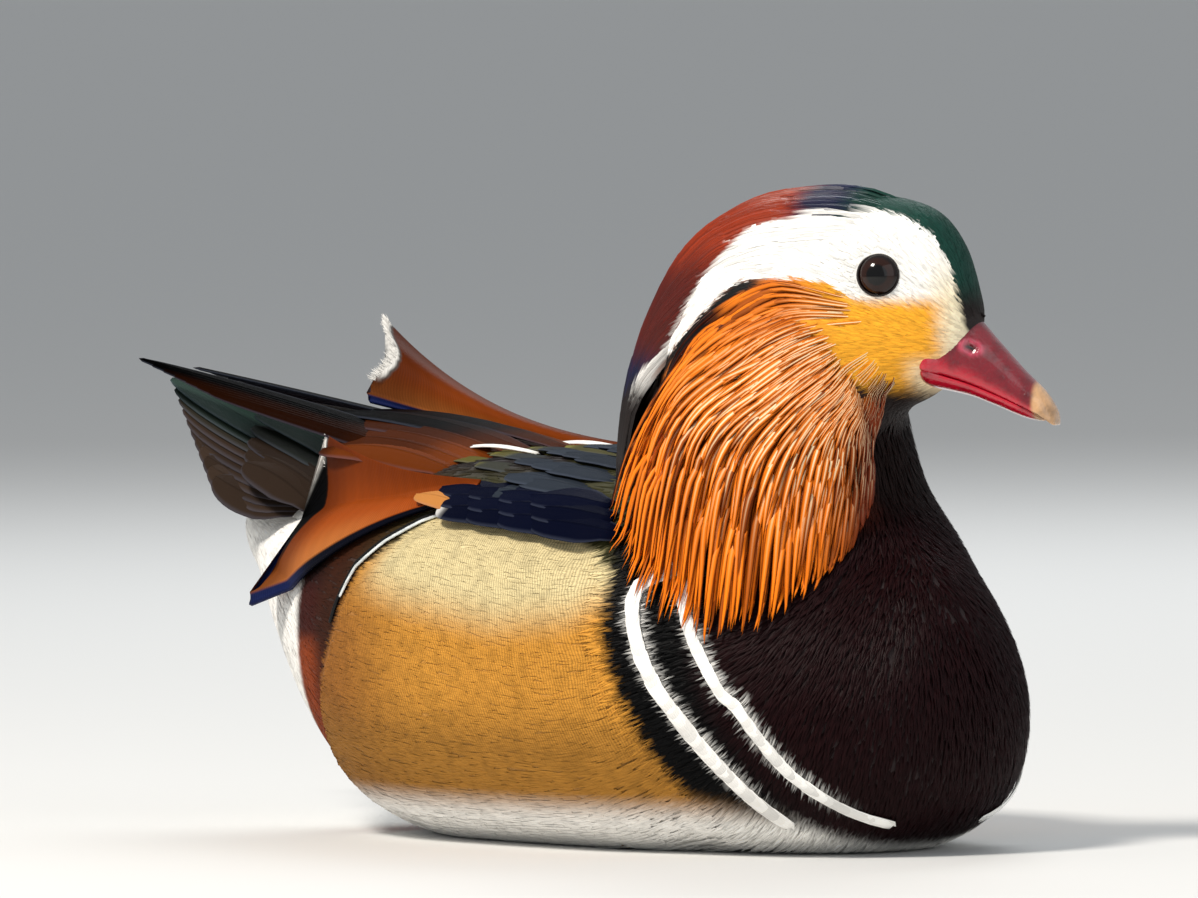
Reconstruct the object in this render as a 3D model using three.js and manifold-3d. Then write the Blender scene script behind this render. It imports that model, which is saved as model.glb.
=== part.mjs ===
// A drake mandarin duck at life size, sitting on its belly with its head turned to its left.
// Millimetres. +Z is up, +X points to the breast and +Y to the bird's left. While it is worked out, the
// middle of the body stands over x = 0, y = 0 and the flat of the belly lies at z = 0. The whole bird is
// centred over the origin at the end.

import * as THREE from 'three';
import { mergeVertices } from 'three/addons/utils/BufferGeometryUtils.js';
import Module from 'manifold-3d';

const wasm = await Module();
wasm.setup();

// Driving dimensions
const gap = 0.3; // between two parts that touch
const sliver = 0.06; // a face thinner than this is taken up by its neighbours
const headTurn = THREE.MathUtils.degToRad(32); // of the head to the bird's left
const headOver = new THREE.Vector3(88.7, 2, 0); // the point below the middle between the eyes
const eyeHeight = 134.8;
const eyeSpread = 13.2; // from the middle of the head to the centre of an eye
const eyeRadius = 5.5;
const billTip = { forward: 40, height: 100 };
const faceCut = 3; // how much shorter the face ahead of the eyes is than the head's tables say
const crownCut = 2.4; // and how much lower the crown
const wristX = 36; // front end of the folded wing
// Ends of the longest primaries: the left wing lies nearer to the middle and a little lower
const wingTips = { '-1': new THREE.Vector3(-181, -11, 111.5), '1': new THREE.Vector3(-181, 6, 108.8) };
const tailTip = new THREE.Vector3(-182, 2, 107); // end of a middle tail feather, left side
const footLength = 46; // ankle to the end of the middle toe
const tarsusLength = 36;

// Sections of the body from breast to vent: x, half width, bottom, height of the widest place, top, fullness
const torsoSections = [
  [112.5, 0, 34, 34, 34, 2],
  [109, 16.5, 17, 32, 53, 1.8],
  [101, 28.5, 7, 32, 66, 1.75],
  [89, 38, 1, 33, 77, 1.7],
  [73, 46.5, -2.5, 36, 86, 1.8],
  [52, 54, -3.5, 40, 90, 2.1],
  [24, 59, -3.5, 42, 90, 2.4],
  [-8, 60, -3.5, 43, 89, 2.5],
  [-40, 57.5, -2.5, 44, 87.5, 2.5],
  [-68, 50, 3, 47, 85, 2.4],
  [-92, 38.5, 16, 52, 82.5, 2.2],
  [-112, 28, 35, 59, 80, 2.1],
  [-128, 19, 52, 67, 79, 2],
  [-141, 12, 64, 72, 79, 2],
  [-148, 0, 74, 74, 74, 2],
];

// Sections of the head from the forehead to the nape, forward of the eyes: same columns as the body's
const headSections = [
  [22.5, 0, 124.5, 124.5, 124.5, 2],
  [21, 5, 119, 125, 131, 2],
  [17.5, 9.5, 113, 126, 142, 2],
  [11, 13.2, 108, 128, 150.5, 2.1],
  [1, 16, 104, 129, 154.6, 2.1],
  [-11, 18.5, 101, 128, 156, 2.2],
  [-24, 20.5, 99, 127, 155.3, 2.2],
  [-37, 20, 98, 124, 151, 2.2],
  [-48, 16.5, 98, 118, 143, 2.1],
  [-56, 10, 99, 112, 131, 2],
  [-60.5, 0, 112, 112, 112, 2],
];

// Rings of the neck from its foot up: height, x and y of the middle, radius fore and aft, radius sideways
const neckRings = [
  [40, 50, 0, 0, 0],
  [52, 52, 0, 30, 30],
  [68, 54, -2, 36, 35],
  [84, 57, -6, 32, 31],
  [100, 60, -10, 29, 28],
  [113, 63, -12, 27.5, 25],
  [124, 66, -13, 24, 21],
  [134, 68, -13, 0, 0],
];

// The line that parts the head from the cheeks and neck, seen from the side: forward of the eyes, height
const cheekLine = [
  [34, 104], [8, 107], [0, 115], [-8, 123.5], [-19, 129], [-32, 129.5], [-42, 125], [-50, 117], [-57, 106],
  [-62, 92], [-84, 78],
];

// Seeded numbers from 0 to 1, the same at every run
function randomRow(seed) {
  let state = seed;
  return () => {
    state = (state * 1664525 + 1013904223) % 4294967296;
    return state / 4294967296;
  };
}

const mix = THREE.MathUtils.lerp;
const ease = THREE.MathUtils.smoothstep;
const vec = (x, y, z) => new THREE.Vector3(x, y, z);

// One column of a table at a row number that may be a fraction, by a smooth curve through the rows
function column(table, c, row) {
  const last = table.length - 1;
  const k = THREE.MathUtils.clamp(Math.floor(row), 0, last - 1);
  const t = row - k;
  const at = (i) => table[THREE.MathUtils.clamp(i, 0, last)][c];
  const [a, b, d, e] = [at(k - 1), at(k), at(k + 1), at(k + 2)];
  return b + 0.5 * t * (d - a + t * (2 * a - 5 * b + 4 * d - e + t * (3 * (b - d) + e - a)));
}

// The row number at which a table's first column, which only rises or only falls, has a value
function rowAt(table, value) {
  const rises = table[table.length - 1][0] > table[0][0];
  let [low, high] = [0, table.length - 1];
  for (let i = 0; i < 30; i++) {
    const middle = (low + high) / 2;
    const before = column(table, 0, middle) < value === rises;
    [low, high] = before ? [middle, high] : [low, middle];
  }
  return (low + high) / 2;
}

const power = (value, exponent) => Math.sign(value) * Math.abs(value) ** exponent;

// A point on a body given by sections. The angle is 0 on the ridge and positive to the left
function sectionPoint(table, row, angle, grow) {
  const [x, width, bottom, widest, top, full] = [0, 1, 2, 3, 4, 5].map((c) => column(table, c, row));
  const up = Math.cos(angle);
  const n = up > 0 ? full : 2.4;
  const reach = up > 0 ? top - widest : widest - bottom;
  const along = grow * (row < 1 ? 1 - row : row > table.length - 2 ? table.length - 2 - row : 0);
  const wider = width < 1e-6 ? 0 : grow;
  return vec(
    x + along,
    (width + wider) * power(Math.sin(angle), 2 / n),
    widest + (reach + wider) * power(up, 2 / n),
  );
}

// How far out of a body given by sections a point lies: 1 on its surface, less inside
function sectionReach(table, point) {
  const row = rowAt(table, point.x);
  const [, width, bottom, widest, top, full] = [0, 1, 2, 3, 4, 5].map((c) => column(table, c, row));
  const upper = point.z > widest;
  const n = upper ? full : 2.4;
  const half = Math.max(upper ? top - widest : widest - bottom, 0.01);
  const across = Math.abs(point.y) / Math.max(width, 0.01);
  return (across ** n + (Math.abs(point.z - widest) / half) ** n) ** (1 / n);
}

// Places in the directions of the head's tables: forward, to its left, up
const headForward = vec(Math.cos(headTurn), Math.sin(headTurn), 0);
const headLeft = vec(-Math.sin(headTurn), Math.cos(headTurn), 0);
const faceShare = (forward) => faceCut * ease(forward, 0, 20);
const crownShare = (height) => crownCut * ease(height, 138, 157);
function fromHead(forward, left, height) {
  return headOver.clone().addScaledVector(headForward, forward - faceShare(forward))
    .addScaledVector(headLeft, left).add(vec(0, 0, height - crownShare(height)));
}
// The reverse: each turn of the loop comes several times closer
function toHead(point) {
  const away = point.clone().sub(headOver);
  const [ahead, up] = [away.dot(headForward), point.z];
  let [forward, height] = [ahead, up];
  for (let turn = 0; turn < 6; turn++) {
    forward = ahead + faceShare(forward);
    height = up + crownShare(height);
  }
  return vec(forward, away.dot(headLeft), height);
}

// The middle and radii of the neck at a height
function neckRing(height) {
  const row = rowAt(neckRings, height);
  const [, x, y, fore, side] = [0, 1, 2, 3, 4].map((c) => column(neckRings, c, row));
  return { middle: vec(x, y, height), fore: Math.max(fore, 0.01), side: Math.max(side, 0.01) };
}

// A point round the neck's axis. The angle is 0 ahead of the head and positive to its left
function aroundNeck(height, angle, radius) {
  return neckRing(height).middle
    .addScaledVector(headForward, radius * Math.cos(angle))
    .addScaledVector(headLeft, radius * Math.sin(angle));
}

function insideFlesh(point) {
  const ring = neckRing(point.z);
  const away = point.clone().sub(ring.middle);
  const neck = (away.dot(headForward) / ring.fore) ** 2 + (away.dot(headLeft) / ring.side) ** 2;
  return neck < 1 || sectionReach(headSections, toHead(point)) < 1;
}

// The radius at which a ray from the neck's axis leaves the neck and head
function fleshRadius(height, angle) {
  let [low, high] = [5, 60];
  for (let i = 0; i < 14; i++) {
    const middle = (low + high) / 2;
    const inside = insideFlesh(aroundNeck(height, angle, middle));
    [low, high] = inside ? [middle, high] : [low, middle];
  }
  return low;
}

// Turns vertices and triangles into a solid with its faces outwards
function solid(points, triangles) {
  const flat = new Float32Array(points.flatMap((p) => [p.x, p.y, p.z]));
  let volume = 0;
  for (let i = 0; i < triangles.length; i += 3) {
    const [a, b, c] = [0, 1, 2].map((k) => points[triangles[i + k]]);
    volume += a.dot(b.clone().cross(c));
  }
  const order = volume > 0 ? triangles : triangles.toReversed();
  return new wasm.Manifold(new wasm.Mesh({
    numProp: 3, vertProperties: flat, triVerts: new Uint32Array(order),
  }));
}

// A three.js geometry whose vertices are each moved by a function, as a solid
function reshaped(geometry, move) {
  geometry.deleteAttribute('normal');
  geometry.deleteAttribute('uv');
  const merged = mergeVertices(geometry, 1e-4);
  const position = merged.attributes.position;
  const points = [];
  for (let i = 0; i < position.count; i++) {
    points.push(move(new THREE.Vector3().fromBufferAttribute(position, i)));
  }
  return solid(points, Array.from(merged.index.array));
}

// A closed body made of rings: place(t, angle) for t from 0 to 1, with a point at each end
function ringed(around, rows, place) {
  return reshaped(new THREE.SphereGeometry(1, around, rows), (p) => {
    const t = Math.acos(THREE.MathUtils.clamp(p.y, -1, 1)) / Math.PI;
    return place(t, Math.atan2(p.z, p.x));
  });
}

// A thin closed sheet whose two faces are split alike: place(u, v, face) with face 1 above and -1 below
function sheet(across, along, place) {
  const plane = new THREE.PlaneGeometry(1, 1, across, along);
  const uv = plane.attributes.uv;
  const count = uv.count;
  const points = [];
  for (const face of [1, -1]) {
    for (let i = 0; i < count; i++) points.push(place(uv.getX(i), uv.getY(i), face));
  }
  const above = Array.from(plane.index.array);
  const below = above.map((i) => i + count).reverse();
  const border = [];
  for (let i = 0; i < along; i++) border.push(i * (across + 1));
  for (let i = 0; i < across; i++) border.push(along * (across + 1) + i);
  for (let i = along; i > 0; i--) border.push(i * (across + 1) + across);
  for (let i = across; i > 0; i--) border.push(i);
  const rim = border.flatMap((p, i) => {
    const q = border[(i + 1) % border.length];
    return [q, p, p + count, q, p + count, q + count];
  });
  return solid(points, [...above, ...below, ...rim]);
}

// Width along a vane, 1 at its broadest: narrow at the root and rounded at the tip
function vaneOutline(t, point) {
  const root = 0.45 + 0.55 * ease(t, 0, 0.35);
  const end = t < point ? 1 : Math.sqrt(Math.max(1 - ((t - point) / (1 - point)) ** 2, 0.012));
  return root * end;
}

// A feather vane along a path, with its upper face turned to up(t). It droops to its edges by cup
function vane({ path, up, width, thick = 0.9, cup = 0.12, point = 0.6, across = 2, along = 4, twist = 0 }) {
  const curve = new THREE.CatmullRomCurve3(path);
  return sheet(across, along, (u, v, face) => {
    const t = v < 1 ? v ** 0.85 : 1;
    const middle = curve.getPoint(t);
    const ahead = curve.getTangent(t);
    const side = up(t).clone().cross(ahead).normalize();
    const normal = ahead.clone().cross(side).normalize();
    const q = 2 * u - 1;
    const reach = (width / 2) * vaneOutline(t, point);
    const edge = 1 - 0.4 * Math.abs(q);
    return middle.clone().addScaledVector(side, q * reach)
      .addScaledVector(normal, -cup * reach * q * q + twist * q * reach + face * 0.5 * thick * edge);
  });
}

// A flat tapered lock of feather along a path, four-sided, as wide as width(t) and ending in a point
function lock({ path, up, width, thick = 1.6, along = 3 }) {
  const curve = new THREE.CatmullRomCurve3(path);
  return reshaped(new THREE.ConeGeometry(1, 1, 4, along), (p) => {
    const t = p.y + 0.5;
    const ring = t > 0.999 ? 0 : 1 / (1 - t);
    const ahead = curve.getTangent(t);
    const side = up(t).clone().cross(ahead).normalize();
    const normal = ahead.clone().cross(side).normalize();
    const wide = 0.5 * width(t) * (1 - t ** 3);
    const high = 0.5 * thick * (1 - 0.6 * t);
    return curve.getPoint(t).addScaledVector(side, p.x * ring * wide)
      .addScaledVector(normal, p.z * ring * high);
  });
}

// Joins solids into one and keeps its largest closed surface
function fused(solids) {
  const whole = wasm.Manifold.union(solids);
  return whole.decompose().sort((a, b) => b.volume() - a.volume())[0];
}

// The largest closed surface left after a cut, with slivers thinner than a hair taken up by their neighbours
const largest = (whole) => fused([whole.setTolerance(sliver)]);

// Body of one table of sections
function sectionBody(table, around, rows, grow, place) {
  const last = table.length - 1;
  return ringed(around, rows, (t, angle) => place(sectionPoint(table, t * last, angle, grow)));
}

const layDown = (p) => vec(p.x, p.y, Math.max(p.z, 0));
const torsoBody = (grow) => sectionBody(torsoSections, 20, 20, grow, layDown);
const headBody = (grow) => sectionBody(headSections, 18, 14, grow, (p) => fromHead(p.x, p.y, p.z));

function neckBody(grow) {
  const last = neckRings.length - 1;
  return ringed(20, 12, (t, angle) => {
    const row = t * last;
    const [z, x, y, fore, side] = [0, 1, 2, 3, 4].map((c) => column(neckRings, c, row));
    const wider = fore < 1e-6 ? 0 : grow;
    return vec(x, y, z)
      .addScaledVector(headForward, (fore + wider) * Math.cos(angle))
      .addScaledVector(headLeft, (side + wider) * Math.sin(angle));
  });
}

// Everything above the cheek line, or above it and a little further
function aboveCheekLine(lower) {
  const line = new THREE.SplineCurve(cheekLine.map(([u, z]) => new THREE.Vector2(u, z)));
  const points = line.getPoints(30).map((p, i) => {
    const along = line.getTangent(i / 30);
    return new THREE.Vector2(p.x - along.y * lower, p.y + along.x * lower);
  });
  const shape = new THREE.Shape([...points, new THREE.Vector2(-84, 190), new THREE.Vector2(34, 190)]);
  const block = new THREE.ExtrudeGeometry(shape, { depth: 90, bevelEnabled: false, steps: 1 });
  return reshaped(block, (p) => fromHead(p.x, p.z - 45, p.y));
}

// A point on the body's side. x as measured, the angle from the ridge to the left, and a height over the skin
function onTorso(x, angle, lift) {
  const row = rowAt(torsoSections, x);
  const here = sectionPoint(torsoSections, row, angle, 0);
  const on = sectionPoint(torsoSections, row + 0.05, angle, 0).sub(here);
  const round = sectionPoint(torsoSections, row, angle + 0.02, 0).sub(here);
  const normal = on.cross(round).normalize();
  const outward = normal.dot(vec(0, Math.sin(angle), Math.cos(angle))) < 0 ? -1 : 1;
  return here.addScaledVector(normal, outward * lift);
}

function torsoNormal(x, angle) {
  return onTorso(x, angle, 1).sub(onTorso(x, angle, 0)).normalize();
}

const degrees = THREE.MathUtils.degToRad;
const mirrored = (p, side) => vec(p.x, p.y * side, p.z);

// The folded wing's own body, a low pad on the side of the back
function wingPad(side, grow) {
  const [front, rear] = [wristX + 1.5 * grow, -88];
  return sheet(4, 7, (u, v, face) => {
    const x = mix(front - 9 * (2 * u - 1) ** 2, rear, v);
    const inner = mix(3.5, 0.8, v) * (1 - 0.25 * grow);
    const angle = degrees(mix(inner, 50 - 20 * v + grow, u ** 1.3));
    const crown = Math.sin(Math.PI * mix(0.12, 0.88, u)) * Math.sin(Math.PI * mix(0.16, 0.9, v)) ** 0.7;
    const lift = face > 0 ? gap + 0.6 + 4.2 * crown + grow : gap + 0.06 - grow * 3;
    return onTorso(x, side * angle, lift);
  });
}

// A vane that lies over the pad of the wing, from one place on the side of the body to another
function lyingVane(side, from, to, width, extra = {}) {
  const point = (t) => {
    const lift = mix(from[2], to[2], t) + 1.1 * Math.sin(Math.PI * t);
    return onTorso(mix(from[0], to[0], t), side * degrees(mix(from[1], to[1], t)), lift);
  };
  return vane({
    path: [point(0), point(0.35), point(0.7), point(1)],
    up: (t) => torsoNormal(mix(from[0], to[0], t), side * degrees(mix(from[1], to[1], t))),
    width, ...extra,
  });
}

function wing(side) {
  const pieces = [wingPad(side, 0)];
  const laid = { along: 3, twist: -0.13 * side };
  const flat = { ...laid, across: 1 };
  // Scapulars in rows down the back
  for (let row = 0; row < 3; row++) {
    for (let i = 0; i < 3; i++) {
      const x = 28 - 27 * row - 3 * i;
      const angle = 8 - 0.4 * row + 12 * i + (row % 2) * 2;
      pieces.push(lyingVane(side, [x, angle, 1.4], [x - 42, angle - 2.5, 6 - 0.5 * i], 13.5, laid));
    }
  }
  // Coverts along the lower edge
  for (let i = 0; i < 3; i++) {
    const x = 22 - 27 * i;
    pieces.push(lyingVane(side, [x, 41 - 3 * i, 1.2], [x - 36, 42 - 4 * i, 3.6], 12, flat));
  }
  // Long inner feathers over the rump
  for (let i = 0; i < 3; i++) {
    const root = onTorso(-40, side * degrees(7 + 11 * i), 2.2);
    const tip = mirrored(vec(-112 + 9 * i, 7.5 + 9 * i, 98.5 - 3.5 * i), side);
    const middle = root.clone().lerp(tip, 0.5).add(vec(0, 0, 3.2));
    const out = vec(0.1, side * (0.25 + 0.15 * i), 1).normalize();
    pieces.push(vane({ path: [root, middle, tip], up: () => out, width: 14, point: 0.45, ...laid }));
  }
  // Primaries, whose points cross over the tail
  for (let i = 0; i < 4; i++) {
    const root = onTorso(-46, side * degrees(11 + 2.2 * i), 1.8);
    const tip = wingTips[side].clone().add(vec(10 * i, 1.8 * side * i, -2.2 * i));
    const middle = root.clone().lerp(tip, 0.5).add(vec(0, 0, 0.6));
    const out = vec(0.2, side * 0.5, 1).normalize();
    pieces.push(vane({ path: [root, middle, tip], up: () => out, width: 8.5, point: 0.15, ...flat }));
  }
  return pieces;
}

// Corners of the two sails, the blade's curl and how late it opens. The right one is half lowered along the
// flank and the left one stands up
const sails = {
  right: {
    root: vec(-16, -41, 82.5), low: vec(-101, -39, 57.5), high: vec(-94.7, -21, 96),
    bulge: vec(0, -4, -2.4), curl: 4, opening: 1, start: 4,
  },
  left: {
    root: vec(-32, 27, 88), low: vec(-113, 8, 102.5), high: vec(-121, 20.5, 121),
    bulge: vec(0, 2, -2), curl: -3, opening: 3.2, start: 4,
  },
};

function sail({ root, low, high, bulge, curl, opening, start }, grow) {
  const up = high.clone().sub(low);
  const upward = up.clone().normalize();
  const out = low.clone().sub(root).cross(up).normalize();
  return sheet(4, 6, (u, v, face) => {
    const quill = root.clone().lerp(low, v).addScaledVector(bulge, Math.sin(Math.PI * v));
    const reach = mix(start, up.length(), v ** opening);
    const rearward = 1 + 0.04 * Math.cos(2 * Math.PI * u) * v;
    const flat = root.clone().lerp(quill, rearward).addScaledVector(upward, reach * u)
      .addScaledVector(out, curl * Math.sin(Math.PI * u) * v);
    return clearOfTorso(flat, 1.6).addScaledVector(out, face * (0.45 + grow));
  });
}

// The pad over the rump that the tail feathers grow from
function tailPad() {
  return sheet(5, 4, (u, v, face) => {
    const angle = degrees(mix(-44, 44, u));
    const crown = Math.sin(Math.PI * mix(0.1, 0.9, u)) * Math.sin(Math.PI * mix(0.15, 0.85, v));
    return onTorso(mix(-98, -132, v), angle, face > 0 ? gap + 0.8 + 4.6 * crown : gap + 0.2);
  });
}

function tail() {
  const pieces = [tailPad()];
  for (const side of [1, -1]) {
    const laid = { along: 3, twist: -0.1 * side };
    const flat = { ...laid, across: 1 };
    for (let i = 0; i < 5; i++) {
      const spread = i / 4;
      const root = onTorso(mix(-106, -110, spread), side * degrees(7 + 33 * spread), 2.6 - 1.2 * spread);
      const end = tailTip.clone().lerp(vec(-139, 23, 84), spread);
      const tip = mirrored(end, side);
      const middle = root.clone().lerp(tip, 0.5).add(vec(0, 0, -1.5 + 1.2 * (1 - spread)));
      const out = vec(0.25, side * (0.12 + 0.6 * spread), 1).normalize();
      pieces.push(vane({ path: [root, middle, tip], up: () => out, width: 13.5, point: 0.5, ...laid }));
    }
    for (let i = 0; i < 3; i++) {
      const root = onTorso(-100, side * degrees(8 + 12 * i), 1.8);
      const tip = mirrored(vec(-143 + 5 * i, 5 + 6.5 * i, 97.5 - 4.5 * i), side);
      const middle = root.clone().lerp(tip, 0.5).add(vec(0, 0, 1.8));
      const out = vec(0.25, side * (0.15 + 0.25 * i), 1).normalize();
      pieces.push(vane({ path: [root, middle, tip], up: () => out, width: 12, point: 0.5, ...flat }));
    }
  }
  return pieces;
}

// The upper and lower half of the bill, in the head's directions: forward, half width, bottom, top
const upperBill = [
  [6, 0, 116, 118], [8, 9.4, 113.2, 123], [14, 8.9, 111.4, 127.5], [20, 7.7, 109.4, 125.6],
  [26, 6.7, 106.9, 119.2], [32, 5.9, 104.1, 112.6], [37, 5.3, 101.6, 107.6], [39.6, 3.4, 99.6, 103.7],
  [billTip.forward, 0, billTip.height, billTip.height + 2],
];
const lowerBill = [
  [6, 0, 111, 112], [8, 6.6, 108.6, 113], [14, 6.5, 107.4, 111.2], [20, 6, 106, 109], [26, 5.3, 103.8, 106.5],
  [32, 4.5, 101.3, 103.6], [35.5, 3.2, 100.6, 102.2], [37, 0, 100.6, 101],
];

function billHalf(table, flatBelow) {
  const last = table.length - 1;
  return ringed(12, 12, (t, angle) => {
    const [u, width, bottom, top] = [0, 1, 2, 3].map((c) => column(table, c, t * last));
    const middle = flatBelow ? bottom + 0.2 * (top - bottom) : top - 0.2 * (top - bottom);
    const rise = Math.cos(angle);
    const reach = rise > 0 ? top - middle : middle - bottom;
    const full = rise > 0 === flatBelow ? 2 : 6;
    const across = Math.max(width, 0) * power(Math.sin(angle), 2 / full);
    return fromHead(u, across, middle + reach * power(rise, 2 / full));
  });
}

function nostril(side) {
  return reshaped(new THREE.SphereGeometry(1, 8, 5), (p) => {
    return fromHead(22 + 2.1 * p.x, side * (6.2 + 1.6 * p.y), 116.4 - 1.2 * p.x + 1.1 * p.z);
  });
}

function eyeball(side, grow) {
  return reshaped(new THREE.SphereGeometry(eyeRadius + grow, 12, 8), (p) => {
    return fromHead(-1.8, side * eyeSpread, eyeHeight).add(p);
  });
}

// The rim of the lids, a low ring round the eye
function lids(side) {
  return reshaped(new THREE.TorusGeometry(eyeRadius - 0.35, 0.9, 5, 14), (p) => {
    const out = 2.9 - 0.12 * p.x - 0.06 * p.y;
    return fromHead(-1.8 + p.x * 1.04, side * (eyeSpread + out + 0.8 * p.z), eyeHeight + p.y);
  });
}

// The outer line of the crest over crown and nape: forward of the eyes, height, half width
const crestLine = [
  [4, 154, 12], [-14, 157, 17], [-31, 155.4, 19.5], [-43, 149.8, 19.5], [-52, 141, 17.5], [-59, 129.5, 14.5],
  [-64, 117, 12], [-67, 105, 10], [-68.5, 95, 8], [-69.5, 86, 5],
];

function crestPoint(t, spread, lift) {
  const row = t * (crestLine.length - 1);
  const [u, z, half] = [0, 1, 2].map((c) => column(crestLine, c, row));
  const next = [0, 1].map((c) => column(crestLine, c, row + 0.1));
  const along = new THREE.Vector2(next[0] - u, next[1] - z).normalize();
  const out = new THREE.Vector2(-along.y, along.x).multiplyScalar(-1);
  if (out.y < 0 && t < 0.4) out.multiplyScalar(-1);
  if (out.x > 0 && t >= 0.4) out.multiplyScalar(-1);
  const deep = half * mix(1.2, 0.5, ease(t, 0.4, 0.75));
  const rise = deep * (Math.cos(spread) - 1) + lift;
  return fromHead(u + out.x * rise, half * Math.sin(spread), z + out.y * rise);
}

function crest() {
  const random = randomRow(11);
  const tiers = [
    { from: 0.1, to: 0.46, count: 6, lift: 0.9 },
    { from: 0.3, to: 0.7, count: 6, lift: 1 },
    { from: 0.46, to: 1.0, count: 6, lift: 0.5 },
  ];
  const pieces = [];
  for (const { from, to, count, lift } of tiers) {
    for (let i = 0; i < count; i++) {
      const end = to - 0.04 * random();
      const at = (t, step = 0) => {
        const spread = degrees(mix(-84, 84, (i + 0.5 + step) / count)) * (1 - 0.15 * t);
        return crestPoint(mix(from, end, t), spread, mix(-3, lift, ease(t, 0, 0.4)));
      };
      pieces.push(lock({
        path: [at(0), at(0.25), at(0.5), at(0.75), at(1)],
        up: (t) => at(t).sub(crestPoint(mix(from, end, t), 0, -12)).normalize(),
        width: (t) => 1.05 * at(t, -0.5).distanceTo(at(t, 0.5)),
        thick: 2,
      }));
    }
  }
  return pieces;
}

// The clear space that the crest lies in, a little wider than the crest
function crestRoom() {
  return sheet(6, 12, (u, v, face) => {
    const spread = degrees(mix(-96, 96, u));
    return crestPoint(mix(0.3, 1.03, v), spread, face > 0 ? 6 : -1.6);
  });
}

// Foot of the ruff on each side, from the throat round to the nape: angle, height and radius of the tips
const ruffEdge = {
  '-1': [[33, 84, 34], [50, 76, 38], [68, 66, 43.5], [87, 53, 50], [112, 57, 49.5], [140, 68, 45.5]],
  1: [[62, 91, 31], [72, 88, 33], [84, 88, 36], [98, 90, 38], [118, 93, 40], [140, 96, 40]],
};
// Where the ruff begins on the cheek: angle and height
const ruffRoot = [[36, 108], [43, 116], [58, 123], [85, 126.5], [118, 124], [148, 112]];

// A point on a lock of the ruff: f from throat to nape, t from cheek to tips
function ruffPlace(side, f, t, lift) {
  const row = f * (ruffRoot.length - 1);
  const [rootAngle, rootHeight] = [0, 1].map((c) => column(ruffRoot, c, row));
  const [angle, height, radius] = [0, 1, 2].map((c) => column(ruffEdge[side], c, row));
  const turn = side * degrees(mix(rootAngle, angle, t ** 1.2));
  const z = mix(rootHeight, height, t);
  const start = fleshRadius(rootHeight, side * degrees(rootAngle));
  const envelope = mix(start, radius, t ** 0.9) + 1.6 * Math.sin(Math.PI * t);
  const skin = fleshRadius(Math.max(z, 68), turn);
  return { z, turn, skin, reach: mix(skin - 1.6, Math.max(envelope, skin + 0.8), lift) };
}

// Moves a point out of the body's skin, in the plane of its section
function clearOfTorso(point, room) {
  const reach = sectionReach(torsoSections, point);
  const widest = column(torsoSections, 3, rowAt(torsoSections, point.x));
  const away = vec(0, point.y, point.z - widest);
  const wanted = 1 + room / Math.max(away.length() / Math.max(reach, 0.01), 1);
  return reach < wanted ? point.clone().addScaledVector(away, wanted / Math.max(reach, 0.2) - 1) : point;
}

function ruff(side) {
  const random = randomRow(side > 0 ? 5 : 8);
  const tiers = [
    { from: 0, to: 0.44, count: 8 },
    { from: 0.2, to: 0.72, count: 9 },
    { from: 0.44, to: 1, count: 12 },
  ];
  const pieces = [];
  for (const { from, to, count } of tiers) {
    for (let i = 0; i < count; i++) {
      const middle = i + 0.5 + 0.3 * (random() - 0.5);
      const end = to - 0.06 * random();
      const at = (t, step = 0) => {
        const place = ruffPlace(side, (middle + step) / count, mix(from, end, t), ease(t, 0, 0.55));
        return clearOfTorso(aroundNeck(place.z, place.turn, place.reach + 0.6 * t), 1.4);
      };
      pieces.push(lock({
        path: [at(0), at(0.25), at(0.5), at(0.75), at(1)],
        up: (t) => at(t).sub(neckRing(at(t).z).middle).normalize(),
        width: (t) => 1.08 * at(t, -0.5).distanceTo(at(t, 0.5)),
        thick: 1.9,
      }));
    }
  }
  return pieces;
}

// A foot tucked under the belly, its sole on the floor: three webbed toes ahead of the ankle
function foot(side, grow) {
  const ankle = vec(-14, side * 20, 0);
  const web = sheet(8, 3, (u, v, face) => {
    const fan = degrees(mix(-17, 17, u));
    const scallop = 1 - 0.12 * Math.sin(2 * Math.PI * u) ** 2 * v;
    const reach = mix(3, footLength, v) * scallop * (1 - 0.12 * Math.abs(2 * u - 1));
    const toe = Math.cos(2 * Math.PI * u) ** 2;
    const high = face > 0 ? 1.4 + 1.6 * toe + grow : -grow;
    return vec(ankle.x + reach * Math.cos(fan), ankle.y + side * reach * Math.sin(fan), high);
  });
  const shank = reshaped(new THREE.CapsuleGeometry(2.6 + grow, tarsusLength - 6, 2, 8), (p) => {
    const z = p.z + 5.6 + 5 * (p.y / tarsusLength);
    return vec(ankle.x - tarsusLength / 2 + 4 - p.y, ankle.y + p.x, Math.max(z, -grow));
  });
  return fused([web, shank]);
}

// The upper edge of the long flank feathers, from the breast to their rear end: x, height
const flankEdge = [
  [50, 62], [37, 70], [24, 75.5], [8, 77.5], [-10, 80.5], [-24, 79], [-36, 71], [-47, 64], [-54, 52],
];

// The flank feathers, a swelling whose upper and rear edges stand a little proud of the body
function flank(side, grow) {
  return sheet(4, 8, (u, v, face) => {
    const row = v * (flankEdge.length - 1);
    const [x, z] = [0, 1].map((c) => column(flankEdge, c, row));
    const [widest, top, full] = [3, 4, 5].map((c) => column(torsoSections, c, rowAt(torsoSections, x)));
    const edge = Math.acos(((z - widest) / (top - widest)) ** (full / 2)) - grow / 30;
    const angle = mix(edge, degrees(125), 1 - u);
    const fade = ease(u, 0, 0.6) * ease(v, 0, 0.35);
    const lift = face > 0 ? mix(-1.6, 2.4, fade) + grow : -3;
    return onTorso(mix(x, x - 6 * v * (1 - u), v), side * angle, lift);
  });
}

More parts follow.
